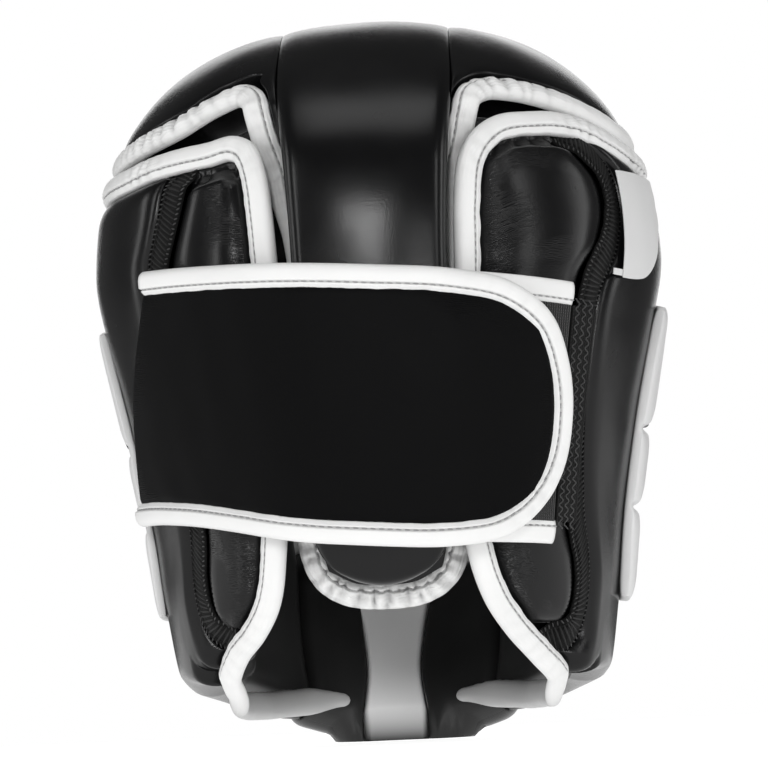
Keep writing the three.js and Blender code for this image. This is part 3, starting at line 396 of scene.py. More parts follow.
# A padded panel between four edges. rear and front run from top to bottom, top and bottom from rear to front.
def padPiece(name, edges, sizes, finish, relief=None, crease=None):
    rear, front, top, bottom = edges
    given = {"rim": 1.0, "step": 2.0, "trims": {}, "rows": (), "margin": 0.0, "crown": 0.0, "seam": 0.5, **sizes}
    rounding, margin = given["round"], given["margin"]
    tall, wide = (rear.length + front.length) / 2, max(top.length, bottom.length)

    def setBack(edge, other, share, key):
        trim = given["trims"].get(key, bindings["wide"] / 2 + 0.2)
        ahead = unit(edge.at(np.minimum(1, share + 0.01)) - edge.at(np.maximum(0, share - 0.01)))
        across = other.at(share) - edge.at(share)
        reach = np.maximum(np.linalg.norm(across, axis=-1), 1e-6)
        slant = np.maximum(0.45, np.linalg.norm(np.cross(ahead, across), axis=-1) / reach)
        return mix(given["seam"], trim, edge.bound(share)) / slant / reach

    us, vs = stops(wide, rounding, given["step"]), stops(tall, rounding, given["step"], given["rows"])
    u, v = np.meshgrid(us, vs)
    a = mix(setBack(rear, front, v, "rear"), 1 - setBack(front, rear, v, "front"), u)
    d = mix(setBack(top, bottom, u, "top"), 1 - setBack(bottom, top, u, "bottom"), v)
    au, dv = a[..., None], d[..., None]
    p = top.at(a) * (1 - dv) + bottom.at(a) * dv + rear.at(d) * (1 - au) + front.at(d) * au
    p = p - top.at(0) * (1 - au) * (1 - dv) - top.at(1) * au * (1 - dv)
    p = seat(p - bottom.at(0) * (1 - au) * dv - bottom.at(1) * au * dv)
    x, y = u * wide, v * tall
    sideways, upright = np.minimum(u, 1 - u) * wide, np.minimum(v, 1 - v) * tall
    near = np.minimum(sideways, upright)
    full = quarter(sideways - margin, rounding) * quarter(upright - margin, rounding)
    lay = lambda value: value(p) if callable(value) else np.full(u.shape, float(value))
    out, into, rim = lay(given["outer"]), lay(given["inner"]), lay(given["rim"])
    seam = lay(given["seamLift"]) if "seamLift" in given else (out + into) / 2
    normal = normalAt(p)
    bulge = lambda distance, half: 1 - (1 - np.minimum(distance / half, 1)) ** 2
    swell = given["crown"] * bulge(sideways, wide / 2) * bulge(upright, tall / 2)
    extra = relief(u, v, p, x, y, near) if relief else 0
    outside = p + normal * (mix(seam + rim, out + swell, full) + extra)[..., None]
    inside = p + normal * mix(seam - rim, into, np.sqrt(full))[..., None]
    n, m = len(us), len(vs)
    grid = np.arange(n * m).reshape(m, n)
    quads = np.stack([grid[:-1, :-1], grid[:-1, 1:], grid[1:, 1:], grid[1:, :-1]], -1).reshape(-1, 4)
    ring = np.concatenate([grid[0, :-1], grid[:-1, -1], grid[-1, :0:-1], grid[:0:-1, 0]])
    after = np.roll(ring, -1)
    wall = np.stack([ring, ring + n * m, after + n * m, after], -1)
    faces = np.concatenate([quads, quads[:, ::-1] + n * m, wall]).tolist()
    flat = np.stack([x, y], -1).reshape(-1, 2)
    mark = crease(u, x, y, near) if crease else np.zeros(u.shape)
    values = {"crease": np.concatenate([mark.ravel(), np.zeros(n * m)])}
    points = np.concatenate([outside.reshape(-1, 3), inside.reshape(-1, 3)])
    piece = outward(meshPiece(name, points, faces, finish, np.concatenate([flat, flat]), values))
    if "lining" in given:
        piece.data.materials.append(given["lining"])
        for face in piece.data.polygons[len(quads) : 2 * len(quads)]:
            face.material_index = 1
    return piece


# A folded leather binding's section: a full fold on one side, a stitched groove and a thin lip on the other
foldSection = {"groove": 0.5, "grooveWide": 0.07, "grooveDeep": 0.3, "lip": 0.12, "fold": 2.6}
foldPlaces = np.array([
    0.995, 0.975, 0.94, 0.88, 0.8, 0.72, 0.66, 0.61, 0.57, 0.535, 0.5, 0.465, 0.43, 0.39, 0.34, 0.26, 0.14, 0,
    -0.15, -0.3, -0.45, -0.6, -0.73, -0.84, -0.92, -0.97, -0.995,
])
backPlaces = np.array([-0.97, -0.88, -0.7, -0.4, 0, 0.4, 0.7, 0.88, 0.97])


def foldProfile(lipSide, depth=1.0):
    s = foldPlaces
    groove = np.exp(-(((s - foldSection["groove"]) / foldSection["grooveWide"]) ** 2))
    o = (1 - np.abs(s) ** foldSection["fold"]) ** 0.5
    o = o - depth * (foldSection["grooveDeep"] * groove + foldSection["lip"] * smooth((s - 0.45) / 0.1) * (s < 0.9))
    under = -((1 - np.abs(backPlaces) ** foldSection["fold"]) ** 0.5)
    places = np.concatenate([s, backPlaces]) * lipSide
    return places, np.concatenate([o, under]), np.concatenate([groove, 0 * backPlaces])


def bandFrame(path, shares, closed=False):
    near = 0.004
    wrap = (lambda value: (value + 1) % 1) if closed else (lambda value: np.clip(value, 0, 1))
    base = seat(path.at(shares))
    ahead = path.at(wrap(shares + near)) - path.at(wrap(shares - near))
    normal = normalAt(base)
    ahead = unit(ahead - normal * np.sum(ahead * normal, -1, keepdims=True))
    return base, normal, np.cross(ahead, normal)


def liftOf(sizes, base, shares):
    lift = sizes["lift"]
    return lift(base, shares) if callable(lift) else np.full(len(shares), float(lift))


folds = {"pitch": 6.4, "drift": 18, "deep": 2.2, "slack": 19}  # gathered leather along a binding


def bandPiece(name, path, sizes, finish, lipSide=1):
    given = {
        "step": 1.3, "start": 0.0, "stop": 1.0, "closed": False, "tilt": 0.0, "gather": (), "seed": 1, "rough": 0.15,
        "plain": lambda share: 0 * share, "size": lambda share: 1 + 0 * share, **sizes,
    }
    closed, seed = given["closed"], given["seed"]
    count = round(path.length * (given["stop"] - given["start"]) / given["step"])
    shares = mix(given["start"], given["stop"], np.arange(count if closed else count + 1) / count)
    base, normal, across = bandFrame(path, shares, closed)
    s, o, groove = foldProfile(lipSide)
    s = s[None, :]
    plain, size = given["plain"](shares)[:, None], given["size"](shares)[:, None]
    o = mix(o[None, :], foldProfile(lipSide, 0)[1][None, :], plain) * size
    groove = groove[None, :] * (1 - plain)
    wide, thick = given["wide"] / 2, given["thick"] / 2
    gathers = (a * np.exp(-(((shares - c) / w) ** 2)) for c, w, a in given["gather"])
    amount = sum(gathers, np.zeros(len(shares)))[:, None]
    along = (shares * path.length)[:, None] + 0 * s
    place = s * wide * size
    wave = along / folds["pitch"] + 0.4 * ripple(along, place, folds["drift"], seed)
    fold = np.abs(np.sin(math.pi * wave)) ** 0.6
    pucker = (fold - 0.75) * smooth(1.35 - np.abs(s * lipSide - 0.15))
    slack = given["rough"] * ripple(along, place * 1.4, folds["slack"], seed + 5)
    out = thick * o + given["tilt"] * place / (2 * wide) + liftOf(given, base, shares)[:, None]
    out = out + (amount * pucker * folds["deep"] + slack) * (o > -0.2) * size
    edge = 1 + 0.05 * ripple(along, 0 * along, 9, seed + 9) * (s * lipSide > 0.6)
    points = base[:, None] + across[:, None] * (place * edge)[..., None] + normal[:, None] * out[..., None]
    k, rings = s.size, len(shares)
    i, j = np.meshgrid(np.arange(rings if closed else rings - 1), np.arange(k), indexing="ij")
    nextRing, nextSide = (i + 1) % rings, (j + 1) % k
    faces = np.stack([i * k + j, i * k + nextSide, nextRing * k + nextSide, nextRing * k + j], -1)
    faces = faces.reshape(-1, 4).tolist()
    if not closed:
        faces += [list(range(k))[::-1], list(range((rings - 1) * k, rings * k))]
    maps = np.stack([along, place], -1).reshape(-1, 2)
    # painted shade, kept in the groove attribute: darker in the stitched groove, along the plain part of a band and in
    # the valleys of its gathers
    dirt = np.clip(0.7 * groove + 0.8 * plain + 0.6 * amount * (1 - fold) * (o > -0.2), 0, 1)
    values = {"groove": dirt, "crease": np.clip(amount + 0 * along, 0, 1)}
    return outward(meshPiece(name, points.reshape(-1, 3), faces, finish, maps, values))


# A sewing line on a band: its points and the direction across it. at is the place across, from -1 to 1.
def seamOn(path, sizes, at, sink=0.0, closed=False):
    places = np.linspace(0.004, 0.996, max(8, round(path.length / 1.5)))
    shares = mix(sizes.get("start", 0.0), sizes.get("stop", 1.0), places)
    base, normal, across = bandFrame(path, shares, closed)
    half, rise = sizes["wide"] / 2, sizes.get("tilt", 0) / 2
    lay = sizes["thick"] / 2 * (1 - abs(at) ** foldSection["fold"]) ** 0.5 - sink
    out = liftOf(sizes, base, shares) + lay + rise * at
    return base + across * (at * half) + normal * out[:, None], unit(across * half + normal * rise)


def addNode(tree, kind, inputs=None, **settings):
    node = tree.nodes.new(kind)
    for key, value in settings.items():
        setattr(node, key, value)
    for key, value in (inputs or {}).items():
        if isinstance(value, bpy.types.NodeSocket):
            tree.links.new(value, node.inputs[key])
        else:
            node.inputs[key].default_value = value
    return node


def mathNode(tree, operation, a, b=None, clamp=False):
    inputs = {0: a} if b is None else {0: a, 1: b}
    return addNode(tree, "ShaderNodeMath", inputs, operation=operation, use_clamp=clamp).outputs[0]


# Geometry Nodes: short round pieces set along lines, such as stitches, ribs and overlock threads
def repeatTree():
    tree = bpy.data.node_groups.new("piecesAlongLine", "GeometryNodeTree")
    socket = tree.interface.new_socket
    socket("Geometry", in_out="INPUT", socket_type="NodeSocketGeometry")
    for key in ("Pitch", "Length", "Thickness", "Lean", "Scatter"):
        socket(key, in_out="INPUT", socket_type="NodeSocketFloat")
    socket("Seed", in_out="INPUT", socket_type="NodeSocketInt")
    socket("Finish", in_out="INPUT", socket_type="NodeSocketMaterial")
    socket("Geometry", in_out="OUTPUT", socket_type="NodeSocketGeometry")
    add = lambda kind, inputs=None, **settings: addNode(tree, kind, inputs, **settings)
    given = add("NodeGroupInput").outputs
    curve = add("GeometryNodeMeshToCurve", {0: given["Geometry"]})
    spaced = add("GeometryNodeResampleCurve", {"Curve": curve.outputs[0], "Length": given["Pitch"]}, mode="LENGTH")
    least = mathNode(tree, "MULTIPLY", given["Scatter"], -1)
    scatter = add("FunctionNodeRandomValue", {2: least, 3: given["Scatter"], "Seed": given["Seed"]}, data_type="FLOAT")
    lean = mathNode(tree, "ADD", given["Lean"], scatter.outputs[1])
    side = add("GeometryNodeInputNamedAttribute", {"Name": "sideways"}, data_type="FLOAT_VECTOR")
    tangent, parts = add("GeometryNodeInputTangent").outputs[0], {}
    for k, operation, way in ((0, "COSINE", tangent), (1, "SINE", side.outputs["Attribute"])):
        share = mathNode(tree, operation, lean)
        parts[k] = add("ShaderNodeVectorMath", {0: way, "Scale": share}, operation="SCALE").outputs[0]
    upright = add("ShaderNodeVectorMath", parts).outputs[0]
    turned = add("FunctionNodeAlignRotationToVector", {"Vector": upright}, axis="Z")
    thread = add("GeometryNodeMeshUVSphere", {"Segments": 7, "Rings": 5, "Radius": 0.5})
    size = add("ShaderNodeCombineXYZ", {"X": given["Thickness"], "Y": given["Thickness"], "Z": given["Length"]})
    shaped = add("GeometryNodeTransform", {"Geometry": thread.outputs["Mesh"], "Scale": size.outputs[0]})
    placed = add("GeometryNodeInstanceOnPoints", {
        "Points": spaced.outputs[0], "Instance": shaped.outputs[0], "Rotation": turned.outputs[0],
    })
    real = add("GeometryNodeRealizeInstances", {0: placed.outputs[0]})
    soft = add("GeometryNodeSetShadeSmooth", {0: real.outputs[0]})
    finish = add("GeometryNodeSetMaterial", {"Geometry": soft.outputs[0], "Material": given["Finish"]})
    add("NodeGroupOutput", {0: finish.outputs[0]})
    return tree


repeatNodes = repeatTree()


def piecesAlong(name, lines, sizes, finish):
    points, sideways, edges = [], [], []
    for line, across in lines:
        first = len(points)
        points += line.tolist()
        sideways += across.tolist()
        edges += [(first + i, first + i + 1) for i in range(len(line) - 1)]
    mesh = bpy.data.meshes.new(name)
    mesh.from_pydata(metres(points).tolist(), edges, [])
    mesh.attributes.new("sideways", "FLOAT_VECTOR", "POINT").data.foreach_set("vector", np.array(sideways).ravel())
    piece = linked(name, mesh)
    modifier = piece.modifiers.new("piecesAlongLine", "NODES")
    modifier.node_group = repeatNodes
    sockets = {item.name: item.identifier for item in repeatNodes.interface.items_tree if item.in_out == "INPUT"}
    for key, value in {**sizes, "Finish": finish}.items():
        modifier[sockets[key]] = value
    rideAs(apply(piece, modifier))


# Shared looks: leather grain, seam wrinkles and cloth ribs as node groups
def nodeGroup(name, inputs, outputs):
    group = bpy.data.node_groups.new(name, "ShaderNodeTree")
    group.interface.new_socket("Vector", in_out="INPUT", socket_type="NodeSocketVector")
    for way, keys in (("INPUT", inputs), ("OUTPUT", outputs)):
        for key in keys:
            group.interface.new_socket(key, in_out=way, socket_type="NodeSocketFloat")
    return group, group.nodes.new("NodeGroupInput").outputs


def leatherGrain():  # small pebbles with finer noise in them, and a slow drift of tone
    group, given = nodeGroup("leatherGrain", ["Scale"], ["Height", "Tone"])
    where, scale = given["Vector"], given["Scale"]
    cells = addNode(group, "ShaderNodeTexVoronoi", {"Vector": where, "Scale": scale}, feature="DISTANCE_TO_EDGE")
    finer = mathNode(group, "MULTIPLY", scale, 2.1)
    fine = addNode(group, "ShaderNodeTexNoise", {"Vector": where, "Scale": finer, "Detail": 3})
    slow = addNode(group, "ShaderNodeTexNoise", {"Vector": where, "Scale": 38, "Detail": 3})
    pebble = mathNode(group, "MULTIPLY", cells.outputs["Distance"], 3.2, clamp=True)
    height = mathNode(group, "ADD", pebble, mathNode(group, "MULTIPLY", fine.outputs["Fac"], 0.45))
    addNode(group, "NodeGroupOutput", {"Height": height, "Tone": slow.outputs["Fac"]})
    return group


def seamWrinkles():  # fine folds that run across the seam where the mask is high
    group, given = nodeGroup("seamWrinkles", ["Mask", "Scale"], ["Height"])
    stretch = addNode(group, "ShaderNodeMapping", {"Vector": given["Vector"], "Scale": (0.45, 1, 1)})
    waves = addNode(group, "ShaderNodeTexWave", {
        "Vector": stretch.outputs[0], "Scale": given["Scale"], "Distortion": 7, "Detail": 3, "Detail Scale": 1.3,
    }, bands_direction="Y")
    breaks = addNode(group, "ShaderNodeTexNoise", {"Vector": given["Vector"], "Scale": 260})
    broken = mathNode(group, "MULTIPLY", waves.outputs["Fac"], breaks.outputs["Fac"])
    addNode(group, "NodeGroupOutput", {"Height": mathNode(group, "MULTIPLY", broken, given["Mask"])})
    return group


def clothRibs():  # threads along one length and across the other
    group, given = nodeGroup("clothRibs", ["Along", "Across"], ["Height", "Tone"])
    parts = addNode(group, "ShaderNodeSeparateXYZ", {0: given["Vector"]}).outputs
    lines = []
    for axis, key in (("X", "Along"), ("Y", "Across")):
        turned = mathNode(group, "MULTIPLY", parts[axis], given[key])
        lines.append(mathNode(group, "SINE", mathNode(group, "MULTIPLY", turned, 2 * math.pi)))
    weave = mathNode(group, "MULTIPLY", mathNode(group, "MULTIPLY", lines[0], lines[1]), 0.5)
    height = mathNode(group, "ADD", weave, mathNode(group, "MULTIPLY", lines[0], 0.5))
    fuzz = addNode(group, "ShaderNodeTexNoise", {"Vector": given["Vector"], "Scale": 2600})
    total = mathNode(group, "ADD", height, fuzz.outputs["Fac"])
    # colour tone from the weave's height: painted shade in the valleys between threads, with the noise's random tone on
    # top
    paintedWeaveShade = mathNode(group, "MULTIPLY", mathNode(group, "ADD", total, 1.0), 0.4, clamp=True)
    addNode(group, "NodeGroupOutput", {"Height": total, "Tone": paintedWeaveShade})
    return group


looks = {"grain": leatherGrain(), "wrinkles": seamWrinkles(), "ribs": clothRibs()}


def useGroup(tree, key, **values):
    return addNode(tree, "ShaderNodeGroup", values, node_tree=looks[key]).outputs


def grey(value, blue=None):
    return (value, value, value if blue is None else blue, 1)


def blendColor(tree, factor, low, high):
    node = addNode(tree, "ShaderNodeMix", data_type="RGBA", clamp_factor=True)
    for socket, value in ((node.inputs[0], factor), (node.inputs["A"], low), (node.inputs["B"], high)):
        if isinstance(value, tuple):
            socket.default_value = value
        else:
            tree.links.new(value, socket)
    return next(s for s in node.outputs if s.type == "RGBA")


def startFinish(name, fixed):
    finish = bpy.data.materials.new(name)
    finish.use_nodes = True
    shader = finish.node_tree.nodes["Principled BSDF"].inputs
    for key, value in fixed.items():
        shader[key].default_value = value
    return finish, finish.node_tree, shader


def bumpOn(tree, height, strength, depth, **before):
    inputs = {"Height": height, "Strength": strength, "Distance": depth, **before}
    return addNode(tree, "ShaderNodeBump", inputs).outputs[0]


def attribute(tree, key):
    return addNode(tree, "ShaderNodeAttribute", attribute_name=key).outputs["Fac"]


def leatherFinish(name, dark, light, roughness, **changes):
    sizes = {"grain": 1050, "folds": 520, "grainBump": 0.05, "foldBump": 0.5, "shine": 0.26, **changes}
    finish, tree, shader = startFinish(name, {"Specular IOR Level": sizes["shine"]})
    where = addNode(tree, "ShaderNodeTexCoord").outputs
    grain = useGroup(tree, "grain", Vector=where["Object"], Scale=sizes["grain"])
    fold = useGroup(tree, "wrinkles", Vector=where["UV"], Mask=attribute(tree, "crease"), Scale=sizes["folds"])
    color = blendColor(tree, grain["Tone"], dark, light)
    # where the groove attribute is high the colour is blended towards a darker colour, as painted shade
    if "dirt" in sizes:
        color = blendColor(tree, attribute(tree, "groove"), color, sizes["dirt"])
    tree.links.new(color, shader["Base Color"])
    low, high = roughness
    span = mathNode(tree, "MULTIPLY", grain["Tone"], 2 * (high - low))
    tree.links.new(mathNode(tree, "ADD", span, low - 0.5 * (high - low)), shader["Roughness"])
    first = bumpOn(tree, grain["Height"], sizes["grainBump"], 0.0004)
    tree.links.new(bumpOn(tree, fold["Height"], sizes["foldBump"], 0.0012, Normal=first), shader["Normal"])
    return finish


def clothFinish(name, dark, light, threads, bump, roughness, shine=0.5, sheen=0.0):
    fixed = {"Roughness": roughness, "Specular IOR Level": shine, "Sheen Weight": sheen}
    finish, tree, shader = startFinish(name, fixed)
    where = addNode(tree, "ShaderNodeTexCoord").outputs["UV"]
    ribs = useGroup(tree, "ribs", Vector=where, Along=threads[0], Across=threads[1])
    # the colour follows the weave's tone: painted shade in its valleys
    tree.links.new(blendColor(tree, ribs["Tone"], grey(dark), grey(light)), shader["Base Color"])
    tree.links.new(bumpOn(tree, ribs["Height"], bump, 0.0004), shader["Normal"])
    return finish


strapLook = {"grain": 1150, "folds": 420, "grainBump": 0.06, "foldBump": 0.4, "shine": 0.05}
paleLook = {"grain": 1000, "folds": 200, "foldBump": 0.3, "shine": 0.4}
# the white bindings' darker colour is painted shade in their grooves, gathers and rim band
whiteLook = {**paleLook, "grain": 1200, "grainBump": 0.04, "dirt": grey(0.38)}
finishes = {
    "black": leatherFinish("blackLeather", grey(0.002, 0.0022), grey(0.0042, 0.0045), (0.22, 0.29)),
    "inner": leatherFinish("innerLeather", grey(0.014), grey(0.024), (0.4, 0.5)),
    "strap": leatherFinish("strapLeather", grey(0.0014, 0.0016), grey(0.003, 0.0032), (0.5, 0.62), **strapLook),
    "white": leatherFinish("whiteLeather", grey(0.7, 0.695), grey(0.78, 0.775), (0.4, 0.52), **whiteLook),
    "guard": leatherFinish("guardLeather", grey(0.58), grey(0.66), (0.42, 0.54), **paleLook),
    # chin strip: brighter than the white leather, as painted light where the strip sits in shade, and darker towards
    # its bottom edge, painted shade fading into black leather at the edge
    "pale": leatherFinish("palePaintedLightLeather", grey(0.84), grey(0.92), (0.45, 0.58), **paleLook, dirt=grey(0.006)),
}
cloths = {  # name, dark, light, threads, bump, roughness, shine, sheen
    # the tape is darker than its ribs: painted shade between the ribs
    "tape": ("wovenTape", 0.001, 0.004, (476, 0), 0.6, 0.7, 0.1, 0.02),
    "rib": ("tapeRib", 0.005, 0.014, (2000, 2000), 0.3, 0.6, 0.25),
    "knit": ("knittedElastic", 0.0015, 0.008, (800, 650), 0.8, 0.8, 0.15, 0.03),
    "pile": ("loopPile", 0.003, 0.022, (900, 900), 1.0, 0.9, 0.2, 0.15),
    "label": ("labelCloth", 0.56, 0.64, (2400, 2400), 0.08, 0.7, 0.3),
    # grey thread for the white bindings' stitches, as painted shade of the stitch holes
    "stitchThreadPaintedShade": ("stitchThreadPaintedShade", 0.2, 0.34, (2000, 2000), 0.2, 0.6),
    "darkThread": ("darkThread", 0.015, 0.04, (2000, 2000), 0.2, 0.5),
}
finishes.update({key: clothFinish(*values) for key, values in cloths.items()})
print("finishes made:", len(finishes))


# The pad over the crown and down the back of the head
foreheadEdge = bothSides(foreheadTop)


def shareAcross(edge, x):
    low, high = 0.0, 1.0
    for _ in range(40):
        half = (low + high) / 2
        if edge.at(np.array([half]))[0, 0] > x:
            low = half
        else:
            high = half
    return low


spinePad = {"half": 31.5, "thick": 20.0, "tip": -61.5, "round": 6.5, "wingRoot": 24.4, "step": 1.7, "bolster": 1.1}
spineProud = {"from": 1.12 * domeBase + 0.55 * domeHigh, "over": 0.55 * domeHigh}
spineFront = {side: shareAcross(foreheadEdge, side * spinePad["half"]) for side in (1, -1)}


def spineSide(side, start):
    overs = ([start] + [over for over in spineRows["over"] if over > start])[:-1]
    width = lambda over: float(column(spineRows["over"], spineRows["half"], over)) * spinePad["half"]
    points = [spinePoint(side * width(over), over) for over in overs]
    return Edge(points + [foreheadEdge.at(np.array([spineFront[side]]))[0]])


def spineOuter(p):
    low = smooth((spineProud["from"] - p[..., 2]) / spineProud["over"])
    return np.where(p[..., 1] > 0, layers["spineProud"] * low, 0)


def makeSpine():
    start, half = spineRows["over"][0], spineRows["half"][0] * spinePad["half"]
    tip = [spinePoint(side * half, mix(spinePad["tip"], start, side**2)) for side in (-1, -0.5, 0, 0.5, 1)]
    sides = (Stretch(spineSide(side, start), 1.0, 0.0) for side in (-1, 1))
    edges = (*sides, Stretch(foreheadEdge, spineFront[-1], spineFront[1]), Edge(tip))
    sizes = {
        "outer": spineOuter, "inner": lambda p: spineOuter(p) - spinePad["thick"], "round": spinePad["round"],
        "crown": 0.5, "seam": 0.1, "seamLift": seamDepth, "step": spinePad["step"],
    }
    dents = uneven(0.25, 55, 3)

    def relief(u, v, p, x, y, near):
        bolster = spinePad["bolster"] * (1 - (2 * u - 1) ** 2) * spineOuter(p) / layers["spineProud"]
        return bolster + dents(u, v, p, x, y, near)

    settle(padPiece("spinePadCover", edges, sizes, finishes["black"], relief), ["spine_pad"])


makeSpine()
print("spine pad made")

# The crown's wings, the tongue below the spine pad and the crown's binding, which sinks behind the flaps' corners
tail = {"thick": 3.0, "round": 1.4, "step": 2.2, "slack": 0.6}
sinking = {"rise": 0.86, "fall": 0.09, "turn": 36, "fade": 9, "below": 2}
tailLift = layers["spineProud"] - spinePad["thick"] - layers["gap"] - tail["thick"] / 2 - tail["slack"]
wings = {"thick": 22.0, "round": 4.5, "step": 1.7, "trim": bindings["wide"] / 2 + 1.2}
wingSeam = {"deep": -9.0, "from": 60, "over": 30}  # the seam sinks towards the brow
sideTags = ((1, "Left", "l"), (-1, "Right", "r"))


def sink(p):
    low = smooth((sinking["rise"] - p[..., 2] / form["height"]) / sinking["fall"])
    near = smooth((sinking["turn"] - np.abs(turnOf(p))) / sinking["fade"])
    return (tailLift - sinking["below"] - bindings["lift"]) * low * near


def makeTail():
    rows, tip = between(crownCourse, "neck", "bend"), between(crownCourse, "bend", "tip")
    turn, rise, more = rows[0]
    top = Edge([formPoint(place, rise) for place in (turn, turn / 2, 0, -more["turnR"] / 2, -more["turnR"])])
    half = tail["thick"] / 2
    sizes = {
        "outer": tailLift + half, "inner": tailLift - half, "round": tail["round"], "rim": 0.7, "step": tail["step"],
        "trims": dict.fromkeys(("rear", "front", "bottom"), wings["trim"]),
    }
    edges = (edgeOf(rows, 1), edgeOf(rows, -1), top, bothSides(tip))
    settle(padPiece("tailTongue", edges, sizes, finishes["black"]), ["tail_base"])


def makeWing(side, tag, letter):
    inner = spineSide(side, spinePad["wingRoot"])
    outer = between(crownCourse, "root", "brow") + [foreheadTop[0]]
    start = Edge([inner.at(np.array([0.0]))[0], rowOf(outer[0], side)[0]])

    def seamLift(p):
        return sink(p) + mix(seamDepth, wingSeam["deep"], smooth((-p[..., 1] - wingSeam["from"]) / wingSeam["over"]))

    edges = (start, Stretch(foreheadEdge, spineFront[side], 0 if side > 0 else 1), inner, edgeOf(outer, side))
    sizes = {
        "outer": sink, "inner": -wings["thick"], "round": wings["round"], "crown": 1.0, "seam": 0.1,
        "seamLift": seamLift,
        "trims": {"bottom": wings["trim"]}, "step": wings["step"],
    }
    piece = padPiece("crownWing" + tag, edges, sizes, finishes["black"], uneven(0.3, 60, 11 + side))
    settle(piece, ["crown_wing_" + letter])


makeTail()
for names in sideTags:
    makeWing(*names)
crownThin = {"by": 0.6, "from": 0.262, "to": 0.43, "over": 0.05}  # where it goes under the strap


def crownSize(share):
    after, before = (share - crownThin["from"]) / crownThin["over"], (crownThin["to"] - share) / crownThin["over"]
    return 1 - crownThin["by"] * smooth(after) * smooth(before)


crownBand = {
    **bindings, "start": 0.007, "stop": 0.993, "seed": 4, "rough": 0.2,
    "lift": lambda p, share: bindings["lift"] + sink(p),
    "gather": ((0.17, 0.045, 0.9), (0.26, 0.03, 0.4), (0.5, 0.075, 1.6), (0.8, 0.03, 0.8), (0.74, 0.03, 0.3)),
    "size": crownSize,
}
crownPath = bothSides(crownCourse)
settle(bandPiece("crownBinding", crownPath, crownBand, finishes["white"], -1), ["crown_binding"])
print("crown made")

# The forehead pad, the face opening's binding and the chin guard
front = {"thick": 28.0, "round": 10.0, "step": 2.4, "bindLift": -9.0}
chin = {"thick": 27.0, "round": 11.0, "stripRound": 4.0, "stripShift": 5.5, "meet": 9.5, "near": 30, "over": 8}
chinShade = {"high": 0.0115, "fade": 0.007, "pressed": 0.0008}  # heights in metres


def makeForehead():
    opening = bothSides(between(faceCourse, "corner", "brow"))
    edges = (edgeOf(browSeam, 1), edgeOf(browSeam, -1), foreheadEdge, opening)
    sizes = {
        "outer": layers["browProud"], "inner": layers["browProud"] - front["thick"], "round": front["round"],
        "crown": 1.5, "step": front["step"], "trims": {"bottom": bindings["wide"] / 2 + 3},
    }
    piece = padPiece("foreheadPad", edges, sizes, finishes["black"], uneven(0.3, 70, 21))
    settle(piece, ["forehead_pad"])


def chinLine(side):
    points = []
    for rise, half in chinStripRows:
        z = rise * form["height"]
        reachSide, reachFront, _ = (float(value) for value in reaches(z))
        x = side * half * form["width"] + chin["stripShift"]
        points.append((x, -reachFront * (1 - abs(x / reachSide) ** squareness) ** (1 / squareness), z))
    return Edge(points, [0.1] * len(points))


def flattened(piece):  # the lowest leather is pressed flat where it rests
    points, low = np.array([v.co for v in piece.data.vertices]), chinShade["pressed"]
    points[:, 2] = np.where(points[:, 2] < low, low * np.exp(np.minimum(points[:, 2] / low - 1, 0)), points[:, 2])
    piece.data.vertices.foreach_set("co", points.ravel())
    piece.data.update()
    return piece


def makeChinHalf(side, tag, letter):
    middleLine = chinLine(side)
    topRows, rimRows = between(faceCourse, "jaw", "chin")[:-1], between(lowerRim, "jaw", "strip")[:-1]
    top = Edge([rowOf(row, side)[0] for row in topRows] + [middleLine.points[0]], [1] * (len(topRows) + 1))
    bottom = Edge([rowOf(row, side)[0] for row in rimRows] + [middleLine.points[-1]])
    sizes = {
        "outer": 0, "inner": -chin["thick"], "round": chin["round"], "crown": 0.8, "seam": 0.1, "step": front["step"],
        "rim": lambda p: mix(1.0, chin["meet"], smooth((chin["near"] - np.abs(p[..., 0])) / chin["over"])),
        "lining": finishes["inner"],
    }
    edges = (edgeOf(chinSeam, side), middleLine, top, bottom)
    piece = padPiece("chinPad" + tag, edges, sizes, finishes["black"], uneven(0.25, 50, 31 + side))
    settle(flattened(piece), ["chin_pad_" + letter])


def makeChinMiddle():
    left, right = chinLine(1), chinLine(-1)
    top, bottom = (seat(np.array([a, (a + b) / 2, b])) for a, b in zip(left.points[[0, -1]], right.points[[0, -1]]))
    sizes = {
        "outer": 1, "inner": -chin["thick"], "round": chin["stripRound"], "seam": 0.1, "rim": chin["meet"],
        "step": front["step"],
    }
    piece = padPiece("chinStripPad", (left, right, Edge(top, [1] * 3), Edge(bottom)), sizes, finishes["pale"])
    # the strip darkens towards its bottom edge by the groove attribute: painted shade that fades into black leather at
    # the edge
    heights = np.array([v.co.z for v in piece.data.vertices])
    floats(piece.data, "groove", smooth((chinShade["high"] - heights) / chinShade["fade"]))
    settle(flattened(piece), ["chin_strip"])


makeForehead()
for names in sideTags:
    makeChinHalf(*names)
makeChinMiddle()
faceLeft, faceRight = ([rowOf(row, side)[0] for row in faceCourse] for side in (1, -1))
facePath = Edge(faceLeft + faceRight[1:-1][::-1] + [faceLeft[0]])
faceBand = {**bindings, "lift": front["bindLift"], "closed": True, "seed": 8}
settle(bandPiece("faceBinding", facePath, faceBand, finishes["white"], -1), ["face_binding"])
print("front made")

